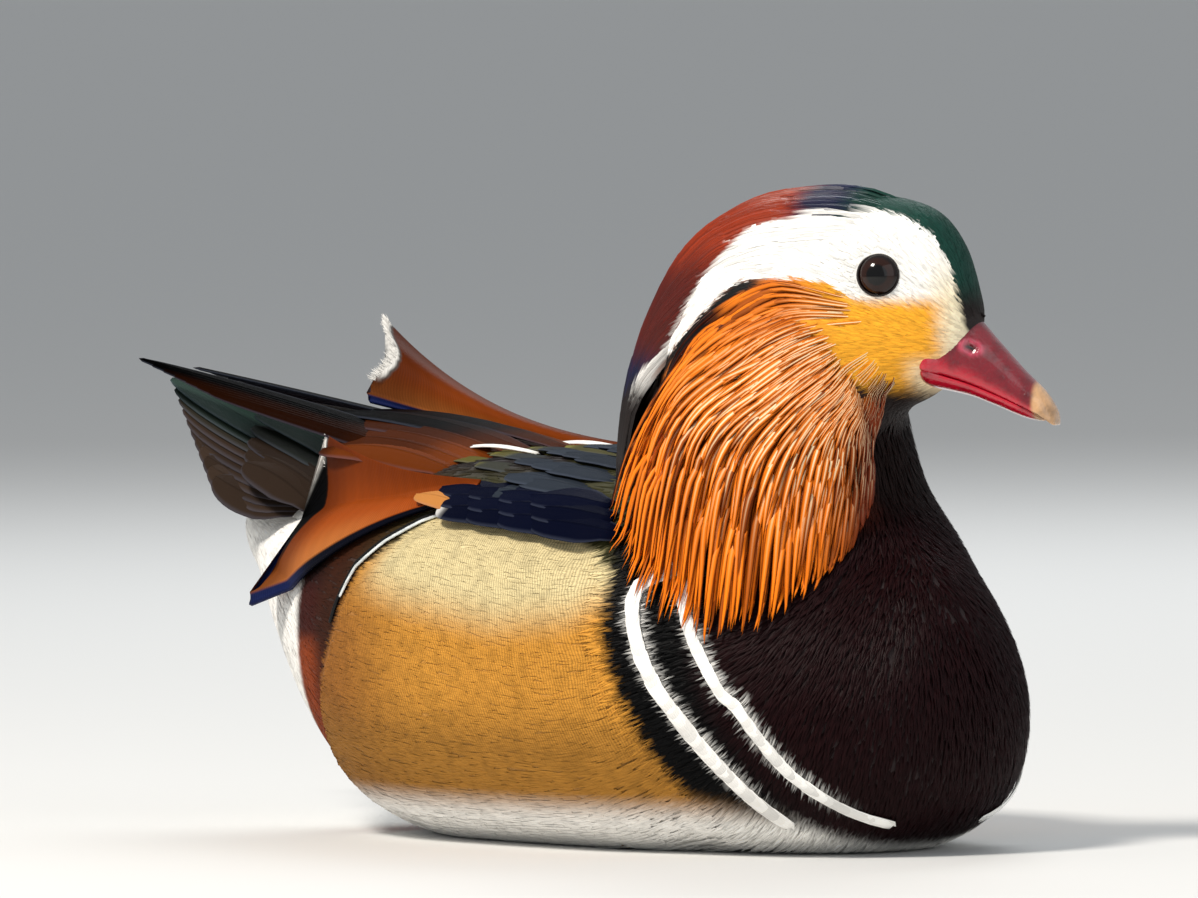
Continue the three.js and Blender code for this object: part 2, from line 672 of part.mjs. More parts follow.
function build() {
  const head = headBody(0);
  const neck = neckBody(0);
  const flesh = fused([head, neck]);
  const torsoSkin = torsoBody(gap);
  const sides = [['right', -1], ['left', 1]];

  const room = crestRoom();
  const nape = headBody(gap).add(neckBody(gap)).subtract(aboveCheekLine(0));
  const plume = wasm.Manifold.union(crest()).subtract(nape);
  const pads = sides.map(([, side]) => wingPad(side, 3));
  const feet = sides.map(([, side]) => foot(side, gap));
  const solids = {
    torso: largest(fused([torsoBody(0), flank(1, 0), flank(-1, 0)]).subtract(wasm.Manifold.union(feet))),
    neck: largest(
      fused([flesh.subtract(aboveCheekLine(gap)), ...ruff(-1), ...ruff(1)])
        .subtract(torsoSkin).subtract(wasm.Manifold.union(pads)).subtract(room)
        .subtract(aboveCheekLine(gap)),
    ),
    head: largest(
      fused([flesh.intersect(aboveCheekLine(0)), lids(1), lids(-1), plume])
        .subtract(eyeball(1, gap)).subtract(eyeball(-1, gap)).subtract(torsoSkin)
        .subtract(wasm.Manifold.union(pads)),
    ),
    bill_upper: largest(billHalf(upperBill, true).subtract(headBody(gap)).subtract(nostril(1))
      .subtract(nostril(-1))),
    bill_lower: largest(billHalf(lowerBill, false).subtract(headBody(gap)).subtract(neckBody(gap))),
    tail: largest(fused(tail()).subtract(sail(sails.right, gap)).subtract(sail(sails.left, gap))),
  };
  for (const [name, side] of sides) {
    solids[`eye_${name}`] = eyeball(side, 0);
    solids[`wing_${name}`] = largest(
      fused(wing(side)).subtract(sail(sails[name], gap)).subtract(flank(side, gap + 0.1)),
    );
    solids[`sail_${name}`] = largest(sail(sails[name], 0));
    solids[`foot_${name}`] = foot(side, 0);
  }
  return solids;
}

const finishes = {
  torso: [0xb8893e, 0.8], neck: [0xc05a1c, 0.7], head: [0xe9e4d8, 0.75], bill_upper: [0xb21f3a, 0.3],
  bill_lower: [0xb21f3a, 0.3], eye_right: [0x120c08, 0.05], eye_left: [0x120c08, 0.05], tail: [0x3a322e, 0.7],
  wing_right: [0x5a5236, 0.6], wing_left: [0x5a5236, 0.6], sail_right: [0xb0541c, 0.6],
  sail_left: [0xb0541c, 0.6], foot_right: [0xc8862e, 0.5], foot_left: [0xc8862e, 0.5],
};

const duck = new THREE.Group();
for (const [name, body] of Object.entries(build())) {
  const mesh = body.getMesh();
  const geometry = new THREE.BufferGeometry();
  geometry.setAttribute('position', new THREE.BufferAttribute(mesh.vertProperties, 3));
  geometry.setIndex(new THREE.BufferAttribute(mesh.triVerts, 1));
  geometry.computeVertexNormals();
  const [color, roughness] = finishes[name];
  const part = new THREE.Mesh(geometry, new THREE.MeshStandardMaterial({ color, roughness, metalness: 0 }));
  part.name = name;
  duck.add(part);
}

// Stand the whole bird over the origin
const box = new THREE.Box3().setFromObject(duck);
const centre = box.getCenter(new THREE.Vector3());
duck.position.set(-centre.x, -centre.y, -box.min.z);

export default duck;
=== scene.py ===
"""Dresses the solids of a life-size drake mandarin duck in skin, plumage, bill, eyes and feet.

Lengths in the tables are millimetres from the middle of the duck's body: x to the breast, y to its left and z
up from the flat of the belly. On the head, u runs forward, v to the left and z up, from between the eyes.
"""

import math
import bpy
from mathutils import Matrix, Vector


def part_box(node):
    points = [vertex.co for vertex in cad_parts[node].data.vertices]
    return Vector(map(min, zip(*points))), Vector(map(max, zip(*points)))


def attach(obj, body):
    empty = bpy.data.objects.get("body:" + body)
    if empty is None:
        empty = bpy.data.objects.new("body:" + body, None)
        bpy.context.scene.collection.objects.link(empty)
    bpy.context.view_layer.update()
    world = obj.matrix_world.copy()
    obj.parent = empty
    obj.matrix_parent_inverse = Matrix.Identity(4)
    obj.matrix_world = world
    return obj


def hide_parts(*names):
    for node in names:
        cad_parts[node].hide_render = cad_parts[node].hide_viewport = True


bl_info = {
    "name": "Mandarin Duck",
    "version": (1, 0, 0),
    "blender": (4, 5, 0),
    "location": "View3D > Sidebar > Duck",
    "description": "Skin, plumage, bill, eyes and feet for the solids of a drake mandarin duck",
    "category": "Add Mesh",
}

import bpy
import numpy as np
from mathutils import Matrix, Vector

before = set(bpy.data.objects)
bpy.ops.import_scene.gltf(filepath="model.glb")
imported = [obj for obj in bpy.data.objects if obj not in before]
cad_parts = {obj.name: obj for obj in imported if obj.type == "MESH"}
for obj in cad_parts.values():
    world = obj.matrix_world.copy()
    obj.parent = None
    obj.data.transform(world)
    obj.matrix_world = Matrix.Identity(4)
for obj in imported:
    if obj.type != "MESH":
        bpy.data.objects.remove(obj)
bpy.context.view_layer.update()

MM = 0.001
SIDES = (("right", -1), ("left", 1))

# Sections of the body from breast to vent: x, half width, bottom, height of the widest place, top, fullness
TORSO = [
    [112.5, 0, 34, 34, 34, 2],
    [109, 16.5, 17, 32, 53, 1.8],
    [101, 28.5, 7, 32, 66, 1.75],
    [89, 38, 1, 33, 77, 1.7],
    [73, 46.5, -2.5, 36, 86, 1.8],
    [52, 54, -3.5, 40, 90, 2.1],
    [24, 59, -3.5, 42, 90, 2.4],
    [-8, 60, -3.5, 43, 89, 2.5],
    [-40, 57.5, -2.5, 44, 87.5, 2.5],
    [-68, 50, 3, 47, 85, 2.4],
    [-92, 38.5, 16, 52, 82.5, 2.2],
    [-112, 28, 35, 59, 80, 2.1],
    [-128, 19, 52, 67, 79, 2],
    [-141, 12, 64, 72, 79, 2],
    [-148, 0, 74, 74, 74, 2],
]
UNDERSIDE = 2.4  # fullness of the lower half of every section
BREAST_FRONT = TORSO[0][0]

# Sections of the head from forehead to nape, with the same columns
HEAD = [
    [22.5, 0, 124.5, 124.5, 124.5, 2],
    [21, 5, 119, 125, 131, 2],
    [17.5, 9.5, 113, 126, 142, 2],
    [11, 13.2, 108, 128, 150.5, 2.1],
    [1, 16, 104, 129, 154.6, 2.1],
    [-11, 18.5, 101, 128, 156, 2.2],
    [-24, 20.5, 99, 127, 155.3, 2.2],
    [-37, 20, 98, 124, 151, 2.2],
    [-48, 16.5, 98, 118, 143, 2.1],
    [-56, 10, 99, 112, 131, 2],
    [-60.5, 0, 112, 112, 112, 2],
]

# Rings of the neck from its foot up: height, x and y of the middle, radius fore and aft, radius sideways
NECK = [
    [40, 50, 0, 0, 0],
    [52, 52, 0, 30, 30],
    [68, 54, -2, 36, 35],
    [84, 57, -6, 32, 31],
    [100, 60, -10, 29, 28],
    [113, 63, -12, 27.5, 25],
    [124, 66, -13, 24, 21],
    [134, 68, -13, 0, 0],
]

EYE_BACK = 1.8  # the eyes' centres behind the head's own origin


def middle_of(node):
    """The middle of a node's box in millimetres."""
    low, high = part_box(node)
    return np.array(low + high) / 2 / MM


SHIFT = np.array([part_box("torso")[1][0] / MM - BREAST_FRONT, 0.0, 0.0])
EYES = {name: middle_of("eye_" + name) - SHIFT for name, _ in SIDES}
EYE_RADIUS = (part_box("eye_left")[1][2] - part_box("eye_left")[0][2]) / 2 / MM
LEFTWARD = (EYES["left"] - EYES["right"]) * [1, 1, 0]
LEFTWARD = LEFTWARD / np.linalg.norm(LEFTWARD)
FORWARD = np.array([LEFTWARD[1], -LEFTWARD[0], 0.0])
UPWARD = np.array([0.0, 0.0, 1.0])
HEAD_OVER = ((EYES["left"] + EYES["right"]) / 2 + EYE_BACK * FORWARD) * [1, 1, 0]


# Numbers and curves

def colour(code):
    """A hexadecimal screen colour as linear red, green and blue."""
    value = np.array([int(code[i:i + 2], 16) / 255 for i in (0, 2, 4)])
    return np.where(value <= 0.04045, value / 12.92, ((value + 0.055) / 1.055) ** 2.4)


def smooth(x, low, high):
    """0 before low, 1 past high and an even S between them, whichever of the two is larger."""
    t = np.clip((x - low) / (high - low), 0, 1)
    return t * t * (3 - 2 * t)


def mix(a, b, t):
    """a at t = 0, b at t = 1 and even between them."""
    return a + (b - a) * t


def power(value, exponent):
    """A power that keeps the sign."""
    return np.sign(value) * np.abs(value) ** exponent


def blend(a, b, mask):
    """Colour a turned into b where the mask is 1."""
    return a + (b - a) * np.asarray(mask)[..., None]


def layers(ground, *coats):
    """A ground colour under coats of colour and mask, each laid over those before it."""
    for tone, mask in coats:
        ground = blend(ground, tone, mask)
    return ground


def unit(vectors):
    """The vectors at length 1."""
    return vectors / np.maximum(np.linalg.norm(vectors, axis=-1, keepdims=True), 1e-9)


def dot(a, b):
    """The vectors' products, one number for each pair."""
    return np.sum(a * b, axis=-1)


def along_normal(vectors, normals):
    """The parts of vectors that lie across their normals, at unit length."""
    return unit(vectors - normals * dot(vectors, normals)[..., None])


def spline(table, row):
    """The table's columns at rows that may be fractions, by the Catmull-Rom curve through its rows."""
    table = np.asarray(table, float)
    last = len(table) - 1
    row = np.asarray(row, float)
    k = np.clip(np.floor(row).astype(int), 0, last - 1)
    t = (row - k)[..., None]
    a, b, c, d = (table[np.clip(k + i, 0, last)] for i in (-1, 0, 1, 2))
    value = b + 0.5 * t * (c - a + t * (2 * a - 5 * b + 4 * c - d + t * (3 * (b - c) + d - a)))
    return np.moveaxis(value, -1, 0)


def profile(table):
    """A function from a value of the table's first column to the others, by the same smooth curve."""
    columns = spline(table, np.linspace(0, len(table) - 1, 30 * len(table)))
    columns = columns[:, np.argsort(columns[0])]
    return lambda value: [np.interp(value, columns[0], column) for column in columns[1:]]


torso_at, head_at, neck_at = profile(TORSO), profile(HEAD), profile(NECK)


def neck_middle(height):
    """The middle of the neck at a height."""
    x, y, _, _ = neck_at(height)
    return np.stack([x, y, height], -1)


FACE_CUT, CROWN_CUT = 3.0, 2.4  # how much shorter face and crown are than the head's tables say
HEAD_FOOT, HEAD_TOP = 62, 170  # the heights between which the tables' heights are turned back
TABLE_U, TABLE_Z = np.linspace(-90, 60, 601), np.linspace(60, 180, 481)
REAL_U = TABLE_U - FACE_CUT * smooth(TABLE_U, 0, 20)
REAL_Z = TABLE_Z - CROWN_CUT * smooth(TABLE_Z, 138, 157)


def from_head(u, v, z):
    """Places in the tables' directions on the head as places on the duck."""
    u, z = np.interp(u, TABLE_U, REAL_U), np.interp(z, TABLE_Z, REAL_Z)
    u, v, z = (np.asarray(value, float)[..., None] for value in np.broadcast_arrays(u, v, z))
    return HEAD_OVER + u * FORWARD + v * LEFTWARD + z * UPWARD


def to_head(points):
    """The reverse of from_head."""
    away = points - HEAD_OVER
    z = points[..., 2]
    z = np.where((z > HEAD_FOOT) & (z < HEAD_TOP), np.interp(z, REAL_Z, TABLE_Z), z)
    return np.interp(away @ FORWARD, REAL_U, TABLE_U), away @ LEFTWARD, z


# The duck's flesh as a field: about the distance in millimetres outside its surface, less than 0 inside

def section_place(at, x, y, z):
    """Angle from the ridge in degrees, reach (1 on the surface) and radius, in a body given by sections.
    A section is the curve where |y / width|^n + |z / height|^n = 1."""
    width, bottom, widest, top, full = at(x)
    above = z > widest
    n = np.where(above, full, UNDERSIDE)
    across = (np.abs(y) + 1e-3) / np.maximum(width, 0.5)
    high = (np.abs(z - widest) + 1e-3) / np.maximum(np.where(above, top - widest, widest - bottom), 0.5)
    reach = (across ** n + high ** n) ** (1 / n)
    angle = np.degrees(np.arctan2(across ** (n / 2), high ** (n / 2)))
    radius = (np.hypot(y, z - widest) + 1e-3) / reach
    return np.where(above, angle, 180 - angle), reach, radius


WING_FRONT, WING_RUN, WING_RISE = 36, 124, 4.2  # where the folded wing begins, its length and its height
RUMP_FRONT, RUMP_RUN, RUMP_RISE = -98, 34, 4.2  # the same for the pad that the tail feathers grow from
FLANK_RISE = 2.2  # of the flank feathers over the side
BREAST_CURVE = 0.0133  # of the round cap at the breast: 1 over twice its radius
CAP_ABOVE, CAP_BELOW = 0.87, 0.98  # how much flatter the cap is above and below its middle
NECK_ROOM, TORSO_ROOM = 5.0, 9.0  # width of the filled crease between neck and head, and at the body
LONGEST_STEP, LEAST_SLOPE = 6.0, 0.2  # limits that keep a step of draping from running off


def wing_crown(x, angle):
    """Height of the folded wing over the back: a smooth hump that ends at its four edges."""
    v = np.clip((WING_FRONT - x) / WING_RUN, 0, 1)
    inner, outer = mix(3.5, 0.8, v), 50 - 20 * v
    u = np.clip((angle - inner) / (outer - inner), 0, 1) ** 0.77
    return WING_RISE * np.sin(np.pi * u) * np.sin(np.pi * v) ** 0.7


# The upper edge of the flank feathers from the breast to their rear end: x, height
FLANK_EDGE = np.array([
    [50, 62], [37, 70], [24, 75.5], [8, 77.5], [-10, 80.5], [-24, 79], [-36, 71], [-47, 64], [-54, 52],
    [-62, 40], [-66, 25],
])


def flank_depth(x, z):
    """How far a place on the side lies under the upper or rear edge of the flank feathers."""
    return np.interp(x, FLANK_EDGE[::-1, 0], FLANK_EDGE[::-1, 1], left=-60) - z


def tail_crown(x, angle):
    """Height of the pad over the rump: a smooth hump across and along."""
    across, along = np.clip(0.5 + angle / 88, 0, 1), np.clip((RUMP_FRONT - x) / RUMP_RUN, 0, 1)
    return RUMP_RISE * np.sin(np.pi * across) * np.sin(np.pi * along)


def torso_field(points):
    """The body's sections with wings, rump and flanks swelling out, and a round cap at the breast."""
    x, y, z = points[..., 0], points[..., 1], points[..., 2]
    angle, reach, radius = section_place(torso_at, x, y, z)
    swell = wing_crown(x, angle) + tail_crown(x, angle)
    swell = swell + FLANK_RISE * smooth(flank_depth(x, z), 0, 9) * smooth(x, 58, 30)
    front, middle = BREAST_FRONT, TORSO[0][3]
    high = (z - middle) * np.where(z > middle, CAP_ABOVE, CAP_BELOW)
    cap = x - front + BREAST_CURVE * (y ** 2 + high ** 2)
    side = mix((reach - 1) * radius - swell, cap, smooth(x, front - 6, front - 2))
    return np.maximum(side, np.maximum(x - front, TORSO[-1][0] - x))


def neck_field(points):
    """The neck's rings, level and oval, between its foot and its top."""
    x, y, fore, side = neck_at(points[..., 2])
    away = points - np.stack([x, y, points[..., 2]], -1)
    ahead, aside = away @ FORWARD, away @ LEFTWARD
    across = np.hypot(ahead, aside) + 1e-3
    reach = np.hypot(ahead / np.maximum(fore, 0.5), aside / np.maximum(side, 0.5)) + 1e-4
    ends = np.maximum(NECK[0][0] - points[..., 2], points[..., 2] - NECK[-1][0])
    return np.maximum((reach - 1) * across / reach, ends)


def head_field(points):
    """The head's sections between forehead and nape."""
    u, v, z = to_head(points)
    _, reach, radius = section_place(head_at, u, v, z)
    return np.maximum((reach - 1) * radius, np.maximum(u - HEAD[0][0], HEAD[-1][0] - u))


def joined(a, b, room):
    """The union of two fields with their crease filled over a width of room."""
    h = np.clip(0.5 + 0.5 * (b - a) / room, 0, 1)
    return mix(b, a, h) - room * h * (1 - h)


def upper_flesh(points):
    """Neck and head as one."""
    return joined(neck_field(points), head_field(points), NECK_ROOM)


def flesh(points):
    """The whole duck, cut flat at the belly."""
    return np.maximum(joined(upper_flesh(points), torso_field(points), TORSO_ROOM), -points[..., 2])


def gradient(field, points, value, step=0.1):
    """The field's slope at points where it has this value."""
    slopes = [(field(points + step * axis) - value) / step for axis in np.eye(3)]
    return np.stack(slopes, -1)


def drape(points, lift=0.0, steps=3, field=flesh):
    """Moves points along the field's slope until the field equals lift, and gives the outward directions."""
    for _ in range(steps):
        value = field(points)
        slope = gradient(field, points, value)
        size = np.maximum(dot(slope, slope), LEAST_SLOPE)
        step = np.clip(value - lift, -LONGEST_STEP, LONGEST_STEP) / size
        points = points - slope * step[..., None]
    return points, unit(slope)


def trail(points, lie, length, steps):
    """Paths that follow the skin: from each root, steps of the lie's direction, each draped again."""
    points, normals = drape(points, steps=2)
    path, ups = [points], [normals]
    for _ in range(steps):
        ahead = along_normal(lie(points), normals)
        points, normals = drape(points + ahead * (length / steps)[..., None], steps=1)
        path.append(points)
        ups.append(normals)
    return np.stack(path), np.stack(ups)


# Meshes from arrays

def fill_mesh(name, points, faces, colours=None, chance=None, maps=None, rounded=True):
    """A mesh object from points in millimetres and blocks of faces, each an array with a row for a face.
    Colours, chance and every map have a value for each point."""
    mesh = bpy.data.meshes.new(name)
    sizes = np.concatenate([np.full(len(block), block.shape[1]) for block in faces])
    corners = np.concatenate([block.ravel() for block in faces]).astype(np.int32)
    mesh.vertices.add(len(points))
    mesh.loops.add(len(corners))
    mesh.polygons.add(len(sizes))
    mesh.vertices.foreach_set("co", ((points + SHIFT) * MM).astype(np.float32).ravel())
    mesh.polygons.foreach_set("loop_start", np.concatenate([[0], np.cumsum(sizes)[:-1]]).astype(np.int32))
    mesh.loops.foreach_set("vertex_index", corners)
    mesh.update(calc_edges=True)
    mesh.polygons.foreach_set("use_smooth", np.full(len(sizes), rounded))
    for title, uv in (maps or {}).items():
        layer = mesh.uv_layers.new(name=title)
        layer.data.foreach_set("uv", uv[corners].astype(np.float32).ravel())
    if colours is not None:
        four = np.c_[colours, np.ones(len(colours))][:, :4]
        paint = mesh.attributes.new("Plumage", "FLOAT_COLOR", "POINT")
        paint.data.foreach_set("color", four.astype(np.float32).ravel())
    if chance is not None:
        draws = mesh.attributes.new("Chance", "FLOAT", "POINT")
        draws.data.foreach_set("value", chance.astype(np.float32))
    obj = bpy.data.objects.new(name, mesh)
    bpy.context.scene.collection.objects.link(obj)
    return obj


def grid_faces(rows, columns):
    """Quads of a grid of rows and columns of points, whose rows close on themselves."""
    i, j = np.meshgrid(np.arange(rows - 1), np.arange(columns), indexing="ij")
    k = (j + 1) % columns
    corners = [i * columns + j, i * columns + k, (i + 1) * columns + k, (i + 1) * columns + j]
    return np.stack(corners, -1).reshape(-1, 4)


def closed_grid(points):
    """Points and faces of a closed body from rings of points: rows by columns, with a pole at each end."""
    rows, columns = points.shape[:2]
    flat = np.concatenate([points.reshape(-1, 3), points[0].mean(0)[None], points[-1].mean(0)[None]])
    ring = np.arange(columns)
    after = (ring + 1) % columns
    first, last = rows * columns, rows * columns + 1
    start = np.stack([after, ring, np.full(columns, first)], -1)
    final = (rows - 1) * columns
    end = np.stack([ring + final, after + final, np.full(columns, last)], -1)
    return flat, [grid_faces(rows, columns), start, end]


# Rings that are carried along a path: across from -1 to 1 and height, going round
LOCK_RING = np.array([[-1, 0], [0, 1], [1, 0]])
LEAF_RING = np.array([[-1, 0], [-0.55, 0.8], [0, 1], [0.55, 0.8], [1, 0], [0, -0.3]])
TUFT_PATCH = 0.003  # size of a form's patch on the unwrapped skin


def vane_ring(count):
    """A flat ring with count points over the upper face and as many under it."""
    top = np.r_[-1, np.linspace(-0.95, 0.95, count - 2), 1]
    rise = 0.5 * np.sqrt(np.clip(1.02 - top ** 2, 0, 1)) + 0.5 * np.exp(-(top / 0.06) ** 2)
    under = top[::-1][1:-1]
    return np.concatenate([np.stack([top, rise], -1), np.stack([under, -0.4 + 0 * under], -1)])


def sweep(path, up, half, ring, thick, cup=0.0, twist=0.0):
    """Points of closed forms, one for each column of paths: at each station a ring as wide as half, with its
    height times thick, its edges drooping by cup times the square of their distance and one of them raised
    by twist times it."""
    ahead = unit(np.gradient(path, axis=0))
    side = unit(np.cross(up, ahead))
    normal = np.cross(ahead, side)
    across, high = ring[:, 0], ring[:, 1]
    half = np.asarray(half)[..., None]
    rise = np.asarray(thick)[..., None] * high - cup * half * across ** 2 + twist * half * across
    out = half * across
    return path[:, :, None] + side[:, :, None] * out[..., None] + normal[:, :, None] * rise[..., None]


def sweep_faces(stations, count, ring_size):
    """Faces of count swept forms whose last station is one point: quads, tips and root caps."""
    def index(station, form, corner):
        """The number of a point in the mesh."""
        return (station * count + form) * ring_size + corner % ring_size

    k, n, j = np.meshgrid(np.arange(stations - 1), np.arange(count), np.arange(ring_size), indexing="ij")
    quads = np.stack([index(k, n, j), index(k + 1, n, j), index(k + 1, n, j + 1), index(k, n, j + 1)], -1)
    n, j = np.meshgrid(np.arange(count), np.arange(ring_size), indexing="ij")
    tip = stations * count * ring_size + n
    tips = np.stack([index(stations - 1, n, j), tip, index(stations - 1, n, j + 1)], -1)
    return [quads.reshape(-1, 4), tips.reshape(-1, 3), index(0, n, j)]


def plumes(name, path, up, half, ring, thick, colours, chance, patch=None, cup=0.0, twist=0.0, times=None):
    """One object of many swept forms. colours has a row for each station and form, and patch a place in the
    unit square for each root. The map Vane runs across and along each form."""
    stations, count = path.shape[:2]
    points = sweep(path, up, half, ring, thick, cup, twist)
    size = len(ring)
    times = np.linspace(0, 1, stations) if times is None else times

    def spread(values, tips):
        """Values given for stations, forms or corners of the ring, as one row for each point of the mesh."""
        body = np.broadcast_to(values, (stations - 1, count, size, values.shape[-1]))
        return np.concatenate([body.reshape(-1, values.shape[-1]), tips])

    across = spread(ring[:, :1], np.zeros((count, 1))) / 2 + 0.5
    along = spread(times[:-1, None, None, None], np.full((count, 1), times[-1]))
    forms = np.arange(count)[:, None]
    owner = spread(forms[:, None], forms)[:, 0]
    vane = np.concatenate([across, along], -1)
    patch = unwrap(path[0]) if patch is None else patch
    return fill_mesh(
        name, spread(points[:-1], points[-1].mean(axis=1)), sweep_faces(stations - 1, count, size),
        spread(colours[:-1, :, None], colours[-1]), chance[owner],
        {"OFBake": patch[owner] + (vane - 0.5) * TUFT_PATCH, "Vane": vane}, rounded=size > len(LOCK_RING))


def gathered(groups):
    """Arrays of several groups of forms put side by side: the second axis counts the forms."""
    return [np.concatenate(parts, axis=1) for parts in zip(*groups)]


def corner_points(mesh_object):
    """Corners of an object's triangles in millimetres: triangle, corner, axis."""
    mesh = mesh_object.data
    mesh.calc_loop_triangles()
    points = np.empty(len(mesh.vertices) * 3, np.float32)
    mesh.vertices.foreach_get("co", points)
    corners = np.empty(len(mesh.loop_triangles) * 3, np.int32)
    mesh.loop_triangles.foreach_get("vertices", corners)
    return (points.reshape(-1, 3) / MM - SHIFT)[corners.reshape(-1, 3)]


def scatter(triangles, density, keep, random):
    """Points strewn evenly over triangles, so many to the square millimetre, where keep says so."""
    a, b, c = triangles[:, 0], triangles[:, 1], triangles[:, 2]
    area = np.linalg.norm(np.cross(b - a, c - a), axis=1) / 2
    chances = keep(triangles.mean(axis=1)) * area * density
    total = int(chances.sum())
    edges = np.cumsum(chances)
    which = np.searchsorted(edges, (np.arange(total) + random.random(total)) * edges[-1] / max(total, 1))
    which = np.clip(which, 0, len(area) - 1)
    s, t = random.random(total), random.random(total)
    s, t = np.where(s + t > 1, 1 - s, s), np.where(s + t > 1, 1 - t, t)
    return a[which] + (b - a)[which] * s[:, None] + (c - a)[which] * t[:, None]


# Colours of the plumage by place

WHITE, CREAM, BLACK = (colour(code) for code in ("FFFDF8", "FFF0CC", "060607"))
RUST, THROAT = (colour(code) for code in ("6A2810", "180C0A"))
RUFOUS, MAROON, OLIVE, STEEL = (colour(code) for code in ("8A3A12", "3A1008", "4C4A2A", "3E4652"))
NAVY, BROWN, CHESTNUT, BRONZE = (colour(code) for code in ("0A0E22", "46200C", "7A3A12", "6A6430"))
WINE, TEAL, PAINTED_SAIL_SHADE, TAIL_GREEN = (colour(code) for code in ("5A160C", "0A403E", "501E06", "1E4640"))
LID_BROWN = colour("1C120E")

# The white band's upper and lower edge on the side of the head: forward of the eyes, height
BAND_TOP = [
    [-68, 90], [-66.5, 100], [-63, 110], [-54.1, 118.7], [-50.1, 123.5], [-46.2, 131.4], [-41, 137.6],
    [-36.8, 142.4], [-33.8, 146.8], [-28.7, 148.2], [-22.8, 149.8], [-17.6, 151.6], [-10.3, 151.8],
    [-0.3, 151], [6.7, 147.7], [11.4, 144.1], [15, 139.1], [17.5, 132.2], [18.6, 126.7], [20, 122],
]
BAND_FOOT = [
    [-64, 90], [-62, 100], [-59, 109], [-54.9, 115], [-50.6, 118.7], [-46.8, 122.6], [-41.9, 127.4],
    [-36.4, 132], [-32.5, 133.9], [-26.1, 134.3], [-18.7, 133.8], [-11.6, 132.8], [-9.7, 130.7],
    [-6, 129], [0, 128], [6, 128.5], [12, 130], [19, 126],
]
BAND_CENTRE = (-16.0, 112.0)


def polar(table):
    """A function from an angle round the band's centre to the distance of the table's curve."""
    table = np.array(table, float) - BAND_CENTRE
    angle = np.arctan2(table[:, 1], table[:, 0])
    angle = np.where(angle < -np.pi / 2, angle + 2 * np.pi, angle)
    order = np.argsort(angle)
    return lambda value: np.interp(value, angle[order], np.hypot(*table.T)[order])


band_top, band_foot = polar(BAND_TOP), polar(BAND_FOOT)


def head_colour(u, z):
    """Crown over the white band, then the cheek with its yellow patch, by the distance from the band's centre
    in the plane of the head's side."""
    angle = np.arctan2(z - BAND_CENTRE[1], u - BAND_CENTRE[0])
    angle = np.where(angle < -np.pi / 2, angle + 2 * np.pi, angle)
    out = np.hypot(u - BAND_CENTRE[0], z - BAND_CENTRE[1])
    nape = smooth(u, -30, -40)
    blue = chosen("crest_blue")
    crown = layers(
        chosen("crest_green"), (blue, smooth(u, -8, -13)), (chosen("copper"), smooth(u, -20, -26)),
        (WINE, smooth(z, 144, 132) * nape), (blue, smooth(z, 120, 112) * nape),
        (TEAL, smooth(z, 104, 96) * nape), (THROAT, smooth(z, 134, 126) * smooth(u, 10, 16)))
    face = layers(
        WHITE, (CREAM, smooth(u, 8, 17) * smooth(z, 142, 128)),
        (chosen("yolk"), smooth(z, 131, 127) * smooth(u, 17.5, 11) * smooth(u, -24, -10)),
        (CREAM, smooth(z, 118, 112) * smooth(u, 2, 8) * 0.8))
    cheek = blend(colour("E07A22"), chosen("yolk"), smooth(u, -26, -8))
    foot, top = band_foot(angle), band_top(angle)
    below = smooth(out, foot + 0.3, foot - 0.3)
    rim = below * smooth(out, foot - 4, foot - 2) * smooth(u, -27, -31)
    return layers(
        face, (cheek, below * smooth(u, -1, -9)), (BLACK, rim), (crown, smooth(out, top - 0.3, top + 0.3)),
        (THROAT, smooth(z, 112, 106) * smooth(u, 16, 4)))


def neck_angle(points):
    """Degrees round the neck's axis from straight ahead of the head, whichever the side."""
    away = points - neck_middle(points[..., 2])
    return np.degrees(np.abs(np.arctan2(away @ LEFTWARD, away @ FORWARD)))


# The two white stripes at the side of the breast: middle line as height and x, half width
STRIPES = [
    (np.array([[8, 84], [20, 76], [35.2, 64.5], [39.3, 61.2], [47.5, 56.4], [53.7, 53.7], [59.3, 51.9],
               [62.8, 52.1], [65, 55.1], [67, 60]]), 1.9),
    (np.array([[8, 100], [20, 90], [35.8, 79.8], [38.2, 76.6], [45, 72], [51.2, 67.9], [59.4, 63.5],
               [63.6, 62.8], [66, 64]]), 1.45),
]


def breast_edge(z):
    """Where the black in front of the flank begins: x by height."""
    return np.interp(z, [10, 35.6, 43.9, 54.5, 64.6, 72], [66, 51.4, 47.9, 45.3, 43.7, 40])


